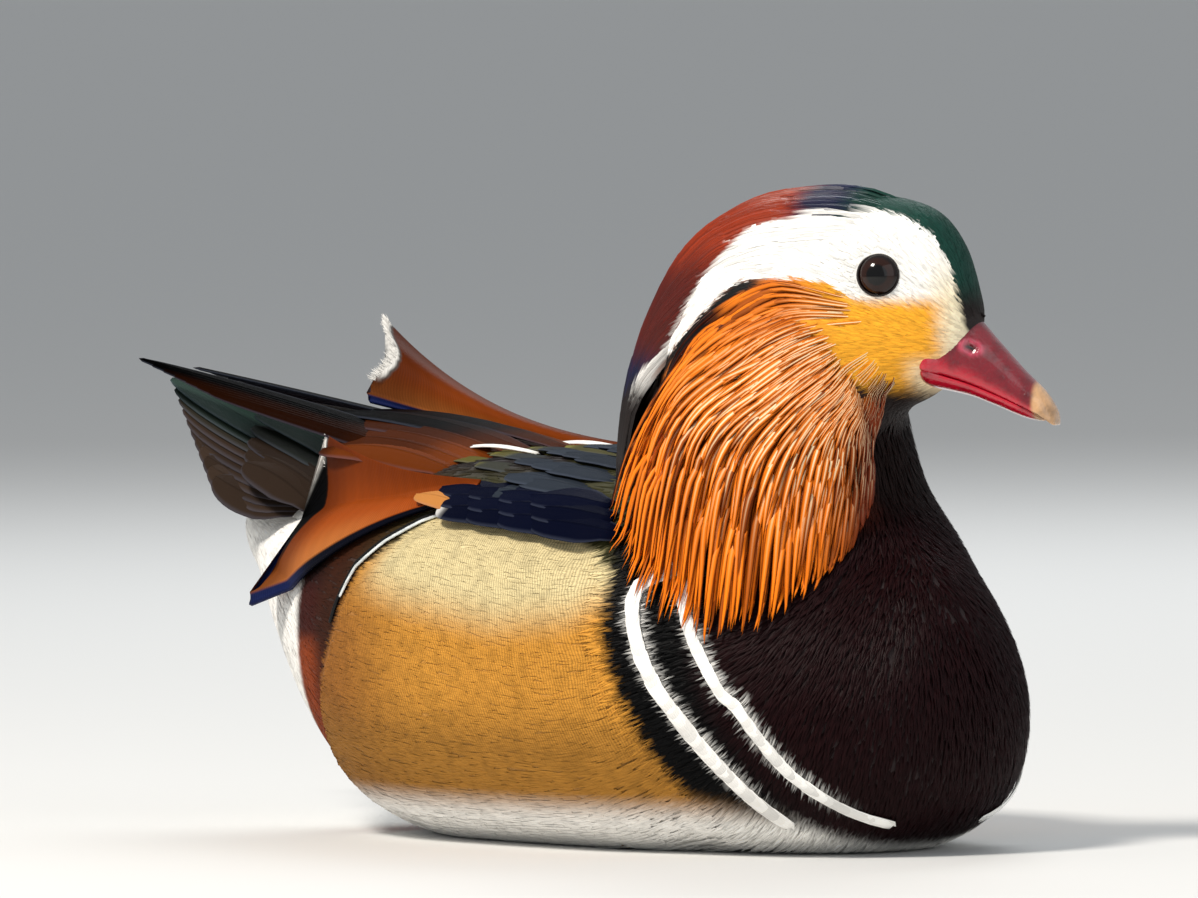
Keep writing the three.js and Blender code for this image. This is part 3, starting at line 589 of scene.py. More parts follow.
def body_colour(points):
    """Flank, rump and back, parted by the flank's upper and rear edge, then the breast with its stripes."""
    x, z = points[..., 0], points[..., 2]
    past_flank = smooth(flank_depth(x, z), 0.4, -0.4)
    buff_foot = np.interp(x, [-43, -20, 13.5, 36, 48], [63, 58, 54, 56, 62])
    flank = layers(
        chosen("gold"), (colour("A46A2C"), smooth(x, -8, -54) * smooth(z, 72, 50)),
        # darker toward the waterline: painted shade
        (colour("A0702E"), smooth(z, 38, 22) * 0.75),
        (chosen("buff"), smooth(z, buff_foot - 7, buff_foot + 7) * smooth(x, -50, -30)))
    rump = layers(
        MAROON, (RUFOUS, smooth(z, 50, 44)), (BLACK, smooth(z, 56, 66)), (WHITE, smooth(x, -79, -83)))
    back = blend(OLIVE * 0.6, BROWN * 0.6, smooth(x, -20, -60))
    edge, belly = breast_edge(z), np.interp(x, [60, 86, 104], [15, 8, -6])
    over_belly = smooth(z, belly - 3, belly + 3)
    result = layers(
        WHITE, (flank, smooth(z, 7, 15)), (rump, past_flank * smooth(x, -40, -44)),
        (back, past_flank * smooth(x, -72, -60)),
        (chosen("tail") * 0.7, smooth(z, 76, 79) * smooth(x, -66, -72)),
        (BLACK, smooth(x, edge - 0.4, edge + 0.4) * over_belly),
        (chosen("breast"), smooth(x, edge + 18, edge + 24) * over_belly))
    for line, half in STRIPES:
        middle = np.interp(z, line[:, 0], line[:, 1])
        white = smooth(np.abs(x - middle), half + 0.4, half - 0.4) * smooth(z, line[-1, 0], line[-1, 0] - 2)
        result = blend(result, WHITE, white * smooth(z, 10, 18))
    return result


def neck_colour(points):
    """Rusty behind, dark at the throat and the breast's own colour at its foot."""
    return layers(
        RUST * 0.5, (THROAT, smooth(neck_angle(points), 46, 30)),
        (chosen("breast"), smooth(points[..., 2], 84, 72)))


# The line that parts the head from the ruff and the throat: forward of the eyes, height
CHEEK_LINE = np.array([
    [-84, 78], [-62, 92], [-57, 106], [-50, 117], [-42, 125], [-33, 129], [-25, 128], [-19, 123], [-13, 115],
    [-7, 109], [0, 106], [10, 105], [34, 103],
])


def cheek_depth(u, z):
    """How far a place lies under the line between head and cheek."""
    return np.interp(u, CHEEK_LINE[:, 0], CHEEK_LINE[:, 1]) - z


def plumage(points):
    """The colour of the plumage anywhere on the duck, from the colours of head, neck and body."""
    u, _, z = to_head(points)
    neck = neck_field(points)
    on_head = smooth(head_field(points) - neck, 3, 1) * smooth(cheek_depth(u, z), 0.5, -0.5)
    return layers(
        neck_colour(points), (body_colour(points), smooth(torso_field(points) - neck, 1.5, -1.5)),
        (head_colour(u, z), on_head * smooth(z, 84, 90)))


# Sizes and colours for the user

def colour_choice(title, code, description):
    """A colour property whose default is a hexadecimal screen colour."""
    return bpy.props.FloatVectorProperty(
        name=title, description=description, default=tuple(colour(code)), min=0.0, max=1.0, subtype="COLOR")


class DuckSizes(bpy.types.PropertyGroup):
    """Sizes and counts that a user may change."""

    skin_voxel: bpy.props.FloatProperty(
        name="Skin Voxel", description="Size of the skin's faces", default=0.0013, min=0.0008, unit="LENGTH")
    head_density: bpy.props.FloatProperty(
        name="Head Tufts", description="Tufts on a square millimetre of the head", default=1.9, min=0.1)
    breast_density: bpy.props.FloatProperty(
        name="Breast Tufts", description="Tufts on a square millimetre of breast and neck", default=0.85,
        min=0.05)
    flank_density: bpy.props.FloatProperty(
        name="Flank Tufts", description="Tufts on a square millimetre of the flanks", default=0.9, min=0.05)
    body_density: bpy.props.FloatProperty(
        name="Body Tufts", description="Tufts on a square millimetre of the rest of the body", default=0.75,
        min=0.05)
    hackles: bpy.props.IntProperty(
        name="Hackles", description="Hackles in a tier of the ruff on one side", default=46, min=8)
    crest_strands: bpy.props.IntProperty(
        name="Crest Strands", description="Strands in a tier of the crest", default=300, min=20)
    seed: bpy.props.IntProperty(name="Seed", description="Start of the random draws", default=7)


class DuckColours(bpy.types.PropertyGroup):
    """Colours that a user may change."""

    crest_green: colour_choice("Crest Green", "073A30", "Forehead and front of the crown")
    crest_blue: colour_choice("Crest Blue", "10163C", "Middle of the crown and side of the nape")
    copper: colour_choice("Crest Copper", "9A3210", "Back of the crown")
    yolk: colour_choice("Cheek Yellow", "FCB02A", "Cheek below the eye")
    ruff: colour_choice("Ruff Orange", "F4801A", "Hackles of the ruff")
    breast: colour_choice("Breast", "1C080A", "Breast and foot of the neck")
    gold: colour_choice("Flank Gold", "DC9A3C", "Side of the body")
    buff: colour_choice("Flank Buff", "E8D6A2", "Pale upper edge of the flank")
    sail: colour_choice("Sail Orange", "A2480E", "Blades of the sails")
    tail: colour_choice("Tail", "3A2E26", "Tail feathers")
    bill: colour_choice("Bill Crimson", "C00E2A", "Both halves of the bill")


def sizes():
    """The user's sizes and counts."""
    return bpy.context.scene.duck_sizes


def chosen(name):
    """One of the user's colours."""
    return np.array(getattr(bpy.context.scene.duck_colours, name))


# Shader sums

INK = (0.0, 0.0, 0.0)


class Value:
    """A number that changes over a surface. Sums and products of it add Math nodes."""

    def __init__(self, graph, socket):
        self.graph, self.socket = graph, socket

    def math(self, operation, *others):
        """The result of a Math node."""
        return self.graph.node("ShaderNodeMath", {"operation": operation}, *others)

    def __add__(self, other):
        return self.math("ADD", self, other)

    def __sub__(self, other):
        return self.math("SUBTRACT", self, other)

    def __rsub__(self, other):
        return self.math("SUBTRACT", other, self)

    def __mul__(self, other):
        return self.math("MULTIPLY", self, other)

    def __truediv__(self, other):
        return self.math("DIVIDE", self, other)

    def __abs__(self):
        return self.math("ABSOLUTE", self)

    def wave(self):
        """Its sine, from 0 to 1."""
        return self.math("SINE", self) * 0.5 + 0.5

    def ramp(self, low, high):
        """0 before low, 1 past high and an even S between them, whichever of the two is larger."""
        settings = {"interpolation_type": "SMOOTHSTEP"}
        if low < high:
            return self.graph.node("ShaderNodeMapRange", settings, self, low, high, 0.0, 1.0)
        return self.graph.node("ShaderNodeMapRange", settings, self, high, low, 1.0, 0.0)

    __radd__ = __add__
    __rmul__ = __mul__


class Graph:
    """The nodes of one material, around a Principled shader."""

    def __init__(self, name):
        self.material = bpy.data.materials.new(name)
        self.material.use_nodes = True
        self.tree = self.material.node_tree
        self.shader = self.tree.nodes["Principled BSDF"]

    def node(self, kind, settings=None, *inputs, output=0, **named):
        """Adds a node, sets its own settings, then fills its sockets in order or by name."""
        made = self.tree.nodes.new(kind)
        for key, value in (settings or {}).items():
            setattr(made, key, value)
        for key, value in list(enumerate(inputs)) + list(named.items()):
            self.fill(made.inputs[key], value)
        return Value(self, made.outputs[output])

    def fill(self, socket, value):
        """Links a value to a socket, or sets the socket's own number, vector or colour."""
        if isinstance(value, Value):
            self.tree.links.new(value.socket, socket)
        elif hasattr(value, "__len__"):
            opaque = (1.0,) if socket.type == "RGBA" and len(value) == 3 else ()
            socket.default_value = (*value, *opaque)
        else:
            socket.default_value = value

    def set(self, **sockets):
        """Fills the shader's sockets, named with _ for a space, and gives the material."""
        for key, value in sockets.items():
            self.fill(self.shader.inputs[key.replace("_", " ")], value)
        return self.material

    def tint(self, a, b, amount):
        """Colour a turned into b by amount."""
        made = self.tree.nodes.new("ShaderNodeMix")
        made.data_type = "RGBA"
        for socket, value in ((made.inputs[0], amount), (made.inputs[6], a), (made.inputs[7], b)):
            self.fill(socket, value)
        return Value(self, made.outputs[2])

    def darken(self, shade, paint, share, amount):
        """Colour shade turned by amount into paint that is darkened by share."""
        return self.tint(shade, self.tint(paint, INK, share), amount)

    def attribute(self, name, output=0):
        """A mesh attribute: 0 gives its colour, 2 its number, 3 the colour's fourth part."""
        return self.node("ShaderNodeAttribute", {"attribute_name": name}, output=output)

    def paint(self):
        """The piece's own plumage colour."""
        return self.attribute("Plumage")

    def strength(self):
        """The fourth part of the piece's plumage colour."""
        return self.attribute("Plumage", output=3)

    def place(self):
        """Object coordinates."""
        return self.node("ShaderNodeTexCoord", output=3)

    def noise(self, scale, detail=2.0):
        """Cloudy noise, about 0.5 on the whole, with so many waves to a metre."""
        return self.node("ShaderNodeTexNoise", {}, self.place(), Scale=scale, Detail=detail)

    def parts(self, vector):
        """The three numbers of a vector."""
        made = self.node("ShaderNodeSeparateXYZ", {}, vector).socket.node
        return tuple(Value(self, socket) for socket in made.outputs)

    def vane(self):
        """The two numbers of the map Vane: across from -1 to 1 and along from 0 to 1."""
        across, along, _ = self.parts(self.node("ShaderNodeUVMap", {"uv_map": "Vane"}))
        return across * 2 - 1, along

    def brighten(self, paint, value):
        """A colour with its brightness times value."""
        return self.node("ShaderNodeHueSaturation", {}, 0.5, 1.0, value, 1.0, paint)

    def bump(self, height, strength, distance):
        """Normals of a surface raised by height times distance in metres."""
        return self.node("ShaderNodeBump", {}, strength, distance, Height=height)


def plumage_colour(graph, change=0.4):
    """The plumage colour, a little lighter or darker from feather to feather, and each feather's chance."""
    chance = graph.attribute("Chance", output=2)
    return graph.brighten(graph.paint(), chance * change + (1.0 - change / 2)), chance


def skin_finish():
    """Down close to the skin: its own colour, mottled fine."""
    graph = Graph("down")
    grain = graph.noise(900.0, 3.0)
    shade = graph.brighten(graph.paint(), grain * 0.3 + 0.8)
    return graph.set(Base_Color=shade, Roughness=0.8, Normal=graph.bump(grain, 0.4, 0.0006))


def feather_finish(name, lines):
    """Vanes: barbs that run out from the shaft and forward, darker between them and along the shaft."""
    graph = Graph(name)
    paint, chance = plumage_colour(graph)
    across, along = graph.vane()
    away = abs(across)
    barb = ((along - away / 1.6 + chance) * (lines * 2 * math.pi)).wave()
    shade = graph.darken(paint, paint, 0.3, 1.0 - barb)
    shade = graph.tint(shade, graph.tint(paint, (0.12, 0.14, 0.2), 0.3), away.ramp(0.75, 0.98) * 0.6)
    shaft = away.ramp(0.09, 0.03)
    shade = graph.darken(shade, paint, 0.5, shaft * 0.5)
    return graph.set(Base_Color=shade, Roughness=0.4, Specular_IOR_Level=0.004,
                     Normal=graph.bump(barb * 0.5 + shaft, 0.25, 0.0004))


def hackle_finish():
    """Hackles of the ruff: a pale streak down the shaft as strong as the colour's fourth part; rust at the
    edges, partly their own colour and partly painted shade of the grooves, and painted shade at the root."""
    graph = Graph("ruff_hackles")
    paint, chance = plumage_colour(graph)
    strength = graph.strength()
    across, along = graph.vane()
    away = abs(across)
    fine = (across * 30.0 + chance * 20.0).wave()
    face = strength.ramp(1.1, 1.9)
    # Rust at the edges: partly the hackles' own colour, partly painted shade of the grooves between them
    shade = graph.tint(paint, RUST * 0.8, away.ramp(0.42, 0.95) * (0.8 - face * 0.7))
    shade = graph.tint(shade, RUST, fine * away.ramp(0.15, 0.5) * (0.32 - face * 0.28))
    # Darker rust toward the root: painted shade where the hackles lie under one another
    shade = graph.tint(shade, RUST * 0.5, along.ramp(0.3, 0.0) * (0.6 - strength * 0.6))
    streak = away.ramp(0.32, 0.12) * along.ramp(0.98, 0.7) * (chance * 0.5 + 0.6) * strength
    shade = graph.tint(shade, colour("FFE9BC"), streak)
    return graph.set(Base_Color=shade, Roughness=0.5, Specular_IOR_Level=0.12,
                     Normal=graph.bump(fine, 0.2, 0.0003))


def tuft_finish(name, rough=0.6, shine=0.25, dark=0.35):
    """Small soft tufts: darkened toward the root as painted shade, finely streaked along."""
    graph = Graph(name)
    paint, chance = plumage_colour(graph)
    across, along = graph.vane()
    fine = (across * 16.0 + chance * 30.0).wave()
    # Darker toward the root: painted shade where each tuft sinks under its neighbours
    shade = graph.darken(paint, paint, dark, along.ramp(0.5, 0.0))
    shade = graph.darken(shade, paint, dark, fine * 0.5)
    return graph.set(Base_Color=shade, Roughness=rough, Specular_IOR_Level=shine,
                     Normal=graph.bump(fine, 0.2, 0.0002))


def flank_finish():
    """Soft plumage with fine dark wavy lines across it, as strong as the colour's fourth part."""
    graph = Graph("body_feathers")
    paint, _ = plumage_colour(graph, 0.14)
    x, _, z = graph.parts(graph.place())
    sway = graph.noise(60.0, 1.0) * 26.0 + graph.noise(380.0, 2.0) * 9.0
    line = (x * 8200.0 + z * 2400.0 + sway).wave()
    shade = graph.tint(paint, graph.tint(paint, (0.05, 0.02, 0.01), 0.4), line * graph.strength())
    shade = graph.darken(shade, shade, 0.2, graph.noise(240.0, 3.0).ramp(0.4, 0.75))
    return graph.set(Base_Color=shade, Roughness=0.7, Specular_IOR_Level=0.1)


def sail_finish(name):
    """The sail's blade: fine parallel barbs from the shaft out to its edge."""
    graph = Graph(name)
    paint, _ = plumage_colour(graph)
    across, along = graph.vane()
    place = graph.noise(60.0)
    slanted = along - across * 0.16
    barb = (slanted * 620.0 + place * 8.0).wave()
    coarse = (slanted * 90.0 + place * 14.0).wave()
    shade = graph.darken(paint, paint, 0.35, barb * 0.5)
    shade = graph.darken(shade, paint, 0.3, coarse * 0.25)
    return graph.set(Base_Color=shade, Roughness=0.5, Specular_IOR_Level=0.03,
                     Normal=graph.bump(barb, 0.12, 0.0003))


def bill_finish():
    """Glossy crimson horn, mottled and finely pitted."""
    graph = Graph("bill_horn")
    paint = graph.paint()
    mottle, pits = graph.noise(220.0, 3.0), graph.noise(1100.0)
    shade = graph.darken(paint, paint, 0.45, mottle.ramp(0.45, 0.75))
    return graph.set(Base_Color=shade, Roughness=0.24, Coat_Weight=1.0, Coat_Roughness=0.12,
                     Normal=graph.bump(pits * 0.6 + mottle, 0.4, 0.001))


def foot_finish():
    """Scaly skin of toes and shank, finely wrinkled between the toes."""
    graph = Graph("foot_skin")
    paint = graph.paint()
    scute = graph.node("ShaderNodeTexVoronoi", {}, graph.place(), Scale=900.0)
    shade = graph.darken(paint, paint, 0.5, scute.ramp(0.3, 0.7))
    return graph.set(Base_Color=shade, Roughness=0.5, Normal=graph.bump(1.0 - scute, 0.5, 0.0004))


def eye_finish():
    """Smooth dark glass with a faint clear coat."""
    graph = Graph("eye_glass")
    return graph.set(Base_Color=graph.paint(), Roughness=0.12, Specular_IOR_Level=0.25, Coat_Weight=0.25,
                     Coat_Roughness=0.02)


def lid_finish():
    """Bare brown skin."""
    return Graph("lid_skin").set(Base_Color=LID_BROWN, Roughness=0.5)


def finish(obj, material, slot, *nodes):
    """Gives a piece its material; slot is not used. It rides on the body for the nodes it stands for."""
    obj.data.materials.clear()
    obj.data.materials.append(material)
    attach(obj, "root")
    if nodes:
        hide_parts(*nodes)
    return obj


# Skin

THIN, THICK = 0.2, 0.8  # depth of the coat on head and body, and on the breast


def coat_depth(points):
    """How deep the skin lies under the solids' surface."""
    u, _, z = to_head(points)
    body = mix(THIN, THICK, smooth(points[..., 0], 38, 54))
    return mix(body, THIN, smooth(cheek_depth(u, z), 6, -2))


# A foot: its ankle, length to the end of the middle toe, and its shank, whose middle lies behind the ankle
ANKLE = (-14.0, 20.0)
FOOT_LENGTH = 46.0
SHANK_LENGTH, SHANK_RADIUS, SHANK_BACK = 36.0, 2.6, 14.0
TOE_SPREAD = 17.0  # degrees on each side of the middle toe
FLOOR_GAP = 0.02  # between the soles and the floor
WEB_ROOM = 3.6  # height that the skin keeps over the web


def shank_middle(x):
    """Height of the shank's middle line, which rises from the ankle back."""
    return 5.6 - 5 * (x - ANKLE[0] + SHANK_BACK) / SHANK_LENGTH


def pocket(points):
    """The height that the skin keeps over the feet, 0 where no foot is near."""
    x, y = points[..., 0] - ANKLE[0], np.abs(points[..., 1]) - ANKLE[1]
    fan = np.degrees(np.arctan2(y, x))
    web = (np.abs(fan) < TOE_SPREAD + 3) & (np.hypot(x, y) < FOOT_LENGTH + 1)
    shank = (np.abs(y) < SHANK_RADIUS + 1) & (x < 5) & (x > -SHANK_LENGTH - 1)
    top = shank_middle(points[..., 0]) + SHANK_RADIUS + 0.4
    return np.maximum(WEB_ROOM * web, top * shank) * (points[..., 2] < 12)


POLE = 0.02  # how far a grid's first and last ring stay from its poles, in rows of the table or in radians


def section_point(x, width, bottom, widest, top, full, turn):
    """x, y and z of places on a section, at turn radians round from its ridge: cos and sin, each to the power
    2 / n."""
    up = np.cos(turn)
    n = np.where(up > 0, full, UNDERSIDE)
    y = width * power(np.sin(turn), 2 / n)
    return x + 0 * y, y, widest + np.where(up > 0, top - widest, widest - bottom) * power(up, 2 / n)


def section_grid(table, rows, columns):
    """Rings of a body given by sections, as x, y and z."""
    row = np.linspace(POLE, len(table) - 1 - POLE, rows)[:, None]
    return section_point(*spline(table, row), np.linspace(0, 2 * np.pi, columns, endpoint=False)[None])


def neck_grid(rows, columns):
    """Rings of the neck: ovals with their longer way to the front of the head."""
    row = np.linspace(POLE, len(NECK) - 1 - POLE, rows)[:, None]
    z, x, y, fore, side = spline(NECK, row)
    angle = np.linspace(0, 2 * np.pi, columns, endpoint=False)[None]
    middle = np.stack([x + 0 * angle, y + 0 * angle, z + 0 * angle], -1)
    return middle + (fore * np.cos(angle))[..., None] * FORWARD + (side * np.sin(angle))[..., None] * LEFTWARD


def remeshed(points, faces, voxel):
    """Points and quads of the one closed surface that a voxel remesh makes of overlapping ones."""
    rough = fill_mesh("rough_skin", points, faces)
    remesh = rough.modifiers.new("remesh", "REMESH")
    remesh.mode, remesh.voxel_size = "VOXEL", voxel
    mesh = bpy.data.meshes.new_from_object(rough.evaluated_get(bpy.context.evaluated_depsgraph_get()))
    bpy.data.objects.remove(rough)
    flat = np.empty(len(mesh.vertices) * 3, np.float32)
    mesh.vertices.foreach_get("co", flat)
    corners = np.empty(len(mesh.loops), np.int32)
    mesh.loops.foreach_get("vertex_index", corners)
    bpy.data.meshes.remove(mesh)
    return flat.reshape(-1, 3).astype(float) / MM - SHIFT, corners.reshape(-1, 4)


def make_skin(voxel):
    """Body, neck and head as three lofts made one by a remesh, then laid on the joined field."""
    x, y, z = section_grid(TORSO, 90, 72)
    body = np.stack([x, y, np.maximum(z, 0)], -1)
    points, faces, start = [], [], 0
    for grid in (body, neck_grid(40, 48), from_head(*section_grid(HEAD, 50, 48))):
        flat, blocks = closed_grid(grid)
        points.append(flat)
        faces += [block + start for block in blocks]
        start += len(flat)
    place, quads = remeshed(np.concatenate(points), faces, voxel)
    place, _ = drape(place, 0.0, steps=4)
    place, _ = drape(place, -coat_depth(place), steps=2)
    place[:, 2] = np.maximum(place[:, 2], pocket(place))
    return fill_mesh("skin", place, [quads], plumage(place))


class DuckSkin(bpy.types.Operator):
    """One skin over body, neck and head, inside the coat"""

    bl_idname = "duck.skin"
    bl_label = "Skin"

    def execute(self, context):
        finish(make_skin(sizes().skin_voxel), skin_finish(), "body_feathers", "torso", "neck", "head")
        return {"FINISHED"}


# Places that the feathers follow, the same as the solids'

def on_torso(x, angle, lift=0.0):
    """Places on the body at degrees round from the ridge, left positive, raised by lift; and the ways out."""
    def at(x, angle):
        """A place on the section at x."""
        return np.stack(section_point(x, *torso_at(x), np.radians(angle)), -1)

    x, angle = np.broadcast_arrays(np.asarray(x, float), np.asarray(angle, float))
    here = at(x, angle)
    out = unit(np.cross(at(x + 0.5, angle) - here, at(x, angle + 1) - here))
    return here + out * np.asarray(lift)[..., None], out


# Outer line of the crest over crown and nape: forward of the eyes, height, half width
CREST = [
    [4, 154, 12], [-14, 157, 17], [-31, 155.4, 19.5], [-43, 149.8, 19.5], [-52, 141, 17.5],
    [-59, 129.5, 14.5], [-64, 117, 12], [-67, 105, 10], [-68.5, 95, 8], [-69.5, 86, 5],
]


def crest_point(t, spread, lift):
    """Places on the crest: t from forehead to its end, degrees round from its middle line, raised by lift."""
    row = t * (len(CREST) - 1)
    u, z, half = spline(CREST, row)
    ahead = spline(CREST, row + 0.1)
    along = np.hypot(ahead[0] - u, ahead[1] - z)
    out_u, out_z = (ahead[1] - z) / along, -(ahead[0] - u) / along
    turn = np.radians(spread)
    rise = half * mix(1.2, 0.5, smooth(t, 0.4, 0.75)) * (np.cos(turn) - 1) + lift
    return from_head(u + out_u * rise, half * np.sin(turn), z + out_z * rise)


# Foot of the ruff on each side from throat to nape: angle round the neck, height and radius of the tips
RUFF_FOOT = {
    -1: [[40, 82, 34], [55, 72, 38], [70, 60, 43.5], [87, 52, 50], [112, 52, 49.5], [140, 68, 45.5]],
    1: [[62, 91, 31], [72, 88, 33], [84, 88, 36], [98, 90, 38], [118, 93, 40], [140, 96, 40]],
}
# Where the ruff passes the edge of the cheek: angle and height
RUFF_TOP = [[36, 108], [43, 116], [58, 123], [85, 126.5], [118, 124], [148, 112]]
# The way of the hackles on the right, from below the eye to the tips: angle and height of the foremost way
# along the throat, of two ways between, and of the last along the white band
RUFF_FLOW = [
    [[24, 111], [30, 114.5], [34, 121], [40, 129.5]],
    [[27, 105.5], [40, 106.5], [60, 116], [87, 133.5]],
    [[30, 100.5], [53, 99], [84, 108], [120, 128.5]],
    [[34.5, 95], [61, 90], [103, 97.5], [142, 118]],
    [[37, 88], [68, 76], [108, 81], [152, 102]],
    [[40, 81], [73, 57], [108, 51], [157, 82]],
]


LEFT_RUFF_TOP, LEFT_RUFF_SHARE = 127, 0.52  # on the left the ways shrink to this share, from this height down


def around_neck(height, angle, radius):
    """Places round the neck at degrees from straight ahead of the head."""
    turn = np.radians(angle)[..., None]
    return neck_middle(height) + radius[..., None] * (np.cos(turn) * FORWARD + np.sin(turn) * LEFTWARD)


def flesh_radius(height, angle):
    """Distance from the neck's middle line to the skin of neck or head, by halving."""
    low, high = np.zeros(height.shape), np.full(height.shape, 60.0)
    for _ in range(14):
        middle = (low + high) / 2
        place = around_neck(height, angle, middle)
        inside = np.minimum(neck_field(place), head_field(place)) < 0
        low, high = np.where(inside, middle, low), np.where(inside, high, middle)
    return low


def ruff_point(side, f, t, lift):
    """Places in the ruff: f from throat to nape, t from cheek to tips, lift from the skin out. On the left,
    where the neck is bent, the ways are half as long."""
    f, t, lift = np.broadcast_arrays(f, t, lift)
    ways = spline(np.reshape(RUFF_FLOW, (len(RUFF_FLOW), -1)), np.clip(t, 0, 1) * (len(RUFF_FLOW) - 1))
    third = 3 * f
    shares = [
        (1 - third) * (2 - third) * (1 - f) / 2, third * (2 - third) * (1 - f) * 1.5,
        third * (third - 1) * (1 - f) * 1.5, f * (third - 1) * (third - 2) / 2,
    ]
    angle, z = sum(share * ways[2 * i:2 * i + 2] for i, share in enumerate(shares))
    z = z if side < 0 else LEFT_RUFF_TOP - (LEFT_RUFF_TOP - z) * LEFT_RUFF_SHARE
    foot, top = np.array(RUFF_FOOT[side]), np.array(RUFF_TOP)
    height, radius = (np.interp(angle, foot[:, 0], foot[:, i]) for i in (1, 2))
    edge = np.interp(angle, top[:, 0], top[:, 1])
    far = np.clip((edge - z) / (edge - height), 0, 1)
    envelope = mix(flesh_radius(edge, side * angle), radius, far ** 0.9) + 1.6 * np.sin(np.pi * far)
    skin = flesh_radius(np.maximum(z, 68), side * angle)
    full = np.maximum(np.where(far > 0, envelope, 0), skin + 0.8)
    point = around_neck(z, side * angle, mix(skin - 1.2, full, lift) + 0.6 * t)
    value = torso_field(point)
    slope = unit(gradient(torso_field, point, value))
    return point + slope * np.clip(1.2 - value, 0, 20)[..., None]


def on_side(x, z, side, lift):
    """Places on the side of the body at x and height z, raised by lift; and the ways out."""
    width, bottom, widest, top, full = torso_at(x)
    n = np.where(z > widest, full, UNDERSIDE)
    part = np.clip(np.abs(z - widest) / np.where(z > widest, top - widest, widest - bottom), 0, 1)
    y = side * width * (1 - part ** n) ** (1 / n)
    return drape(np.stack([x, y, z], -1), lift, steps=4)


def chain(line, side, step, length, stations, lift, random):
    """Paths of overlapping feathers along a line on the body's side: rows of height and x, from its top down.
    The feathers begin every step and are length long."""
    line = np.asarray(line, float)
    away = np.r_[0, np.cumsum(np.hypot(*np.diff(line, axis=0).T))]
    starts = np.arange(-0.4 * length, away[-1] - 0.5 * length, step)
    t = np.linspace(0, 1, stations)[:, None]
    at = starts + t * length + random.uniform(-0.2, 0.2, len(starts)) * step
    z, x = (np.interp(at, away, line[:, i]) for i in (0, 1))
    return on_side(x, z, side, mix(lift - 0.5, lift, t ** 0.5) + 0 * at)


def vane_outline(t, point):
    """Width of a feather along its length, 1 at its widest: narrow at the root, round past point."""
    end = np.clip((t - point) / (1 - point), 0, 1)
    return (0.45 + 0.55 * smooth(t, 0, 0.35)) * np.sqrt(np.maximum(1 - end ** 2, 0.004))


def arc(root, middle, tip, t):
    """The curve of second degree through three points."""
    t = t[:, None, None]
    return root * (1 - t) * (1 - 2 * t) + middle * 4 * t * (1 - t) + tip * t * (2 * t - 1)


def unwrap(points):
    """Places in the unit square: body by length and angle round it, neck and head by height and angle."""
    x, y, z = points[..., 0], points[..., 1], points[..., 2]
    body = np.stack([np.arctan2(y, z - 45) / (2 * np.pi) * 0.58 + 0.3, (x + 190) / 310], -1)
    away = points - [63, -10, 0]
    turn = np.arctan2(away @ LEFTWARD, away @ FORWARD)
    head = np.stack([turn / (2 * np.pi) * 0.36 + 0.81, (z - 40) / 120], -1)
    return np.where((upper_flesh(points) < torso_field(points))[..., None], head, body)


# Coats

TUFT_STEPS = 2  # straight steps along a tuft


def tufts(name, density, keep, lie, length, half, thick, material, slot, rise, seed, spread, blur=0.15,
          sink=None, mark=None):
    """Small forms strewn over the skin: each lies along the field and rises from the skin to its tip. Its
    colour is the plumage's own at every station, shifted by about blur, with mark as its fourth part."""
    random = np.random.default_rng(seed + sizes().seed)
    roots = scatter(corner_points(bpy.data.objects["skin"]), density, keep, random)
    count = len(roots)
    chance = random.random(count)
    sway = random.normal(0, spread, (count, 3))
    long = length(roots) * random.uniform(0.8, 1.2, count)
    path, ups = trail(roots, lambda p: unit(lie(p)) + sway, long, TUFT_STEPS)
    t = np.linspace(0, 1, TUFT_STEPS + 1)[:, None]
    depth = coat_depth(roots) if sink is None else sink
    path = path + ups * (mix(-depth, rise * (0.6 + 0.8 * chance), t ** 0.8))[..., None]
    path[..., 2] = np.maximum(path[..., 2], 0.2)
    wide = half(roots) * random.uniform(0.85, 1.15, count) * np.maximum((1 - t ** 2) ** 0.6, 0.02)
    place = path - ups * 0.5 + random.normal(0, blur, (count, 3))
    colours = plumage(place)
    if mark:
        colours = np.concatenate([colours, mark(place)[..., None]], -1)
    obj = plumes(name, path, ups, wide, LOCK_RING, thick * (1 - 0.5 * t) + 0 * wide, colours, chance,
                 patch=unwrap(roots))
    return finish(obj, material, slot)


def head_lie(points):
    """Away from the base of the bill, and downward on nape and cheek."""
    u, _, _ = to_head(points)
    away = unit(points - from_head(24.0, 0.0, 118.0))
    return away - UPWARD * (0.6 * smooth(u, -10, -45))[..., None]


def body_lie(points):
    """Down the neck, then back along the body and a little upward under the tail."""
    x, z = points[..., 0], points[..., 2]
    down = np.maximum(smooth(z, 50, 86) * smooth(x, 10, 50), smooth(x, 66, 96))
    back = np.stack([-1 + 0 * x, 0 * x, -0.35 + 0.45 * smooth(x, 60, 20) + 0.4 * smooth(x, -50, -80)], -1)
    return mix(back, np.array([-0.45, 0.0, -1.0]), down[..., None])


def coat_place(points):
    """Masks of head, breast and body: which coat covers a place."""
    _, _, z = to_head(points)
    head = head_field(points)
    on_head = (np.minimum(head, 9) < torso_field(points)) & (head < 1.5) & (z > 98)
    breast = points[..., 0] > breast_edge(z)
    return on_head, ~on_head & breast, ~on_head & ~breast


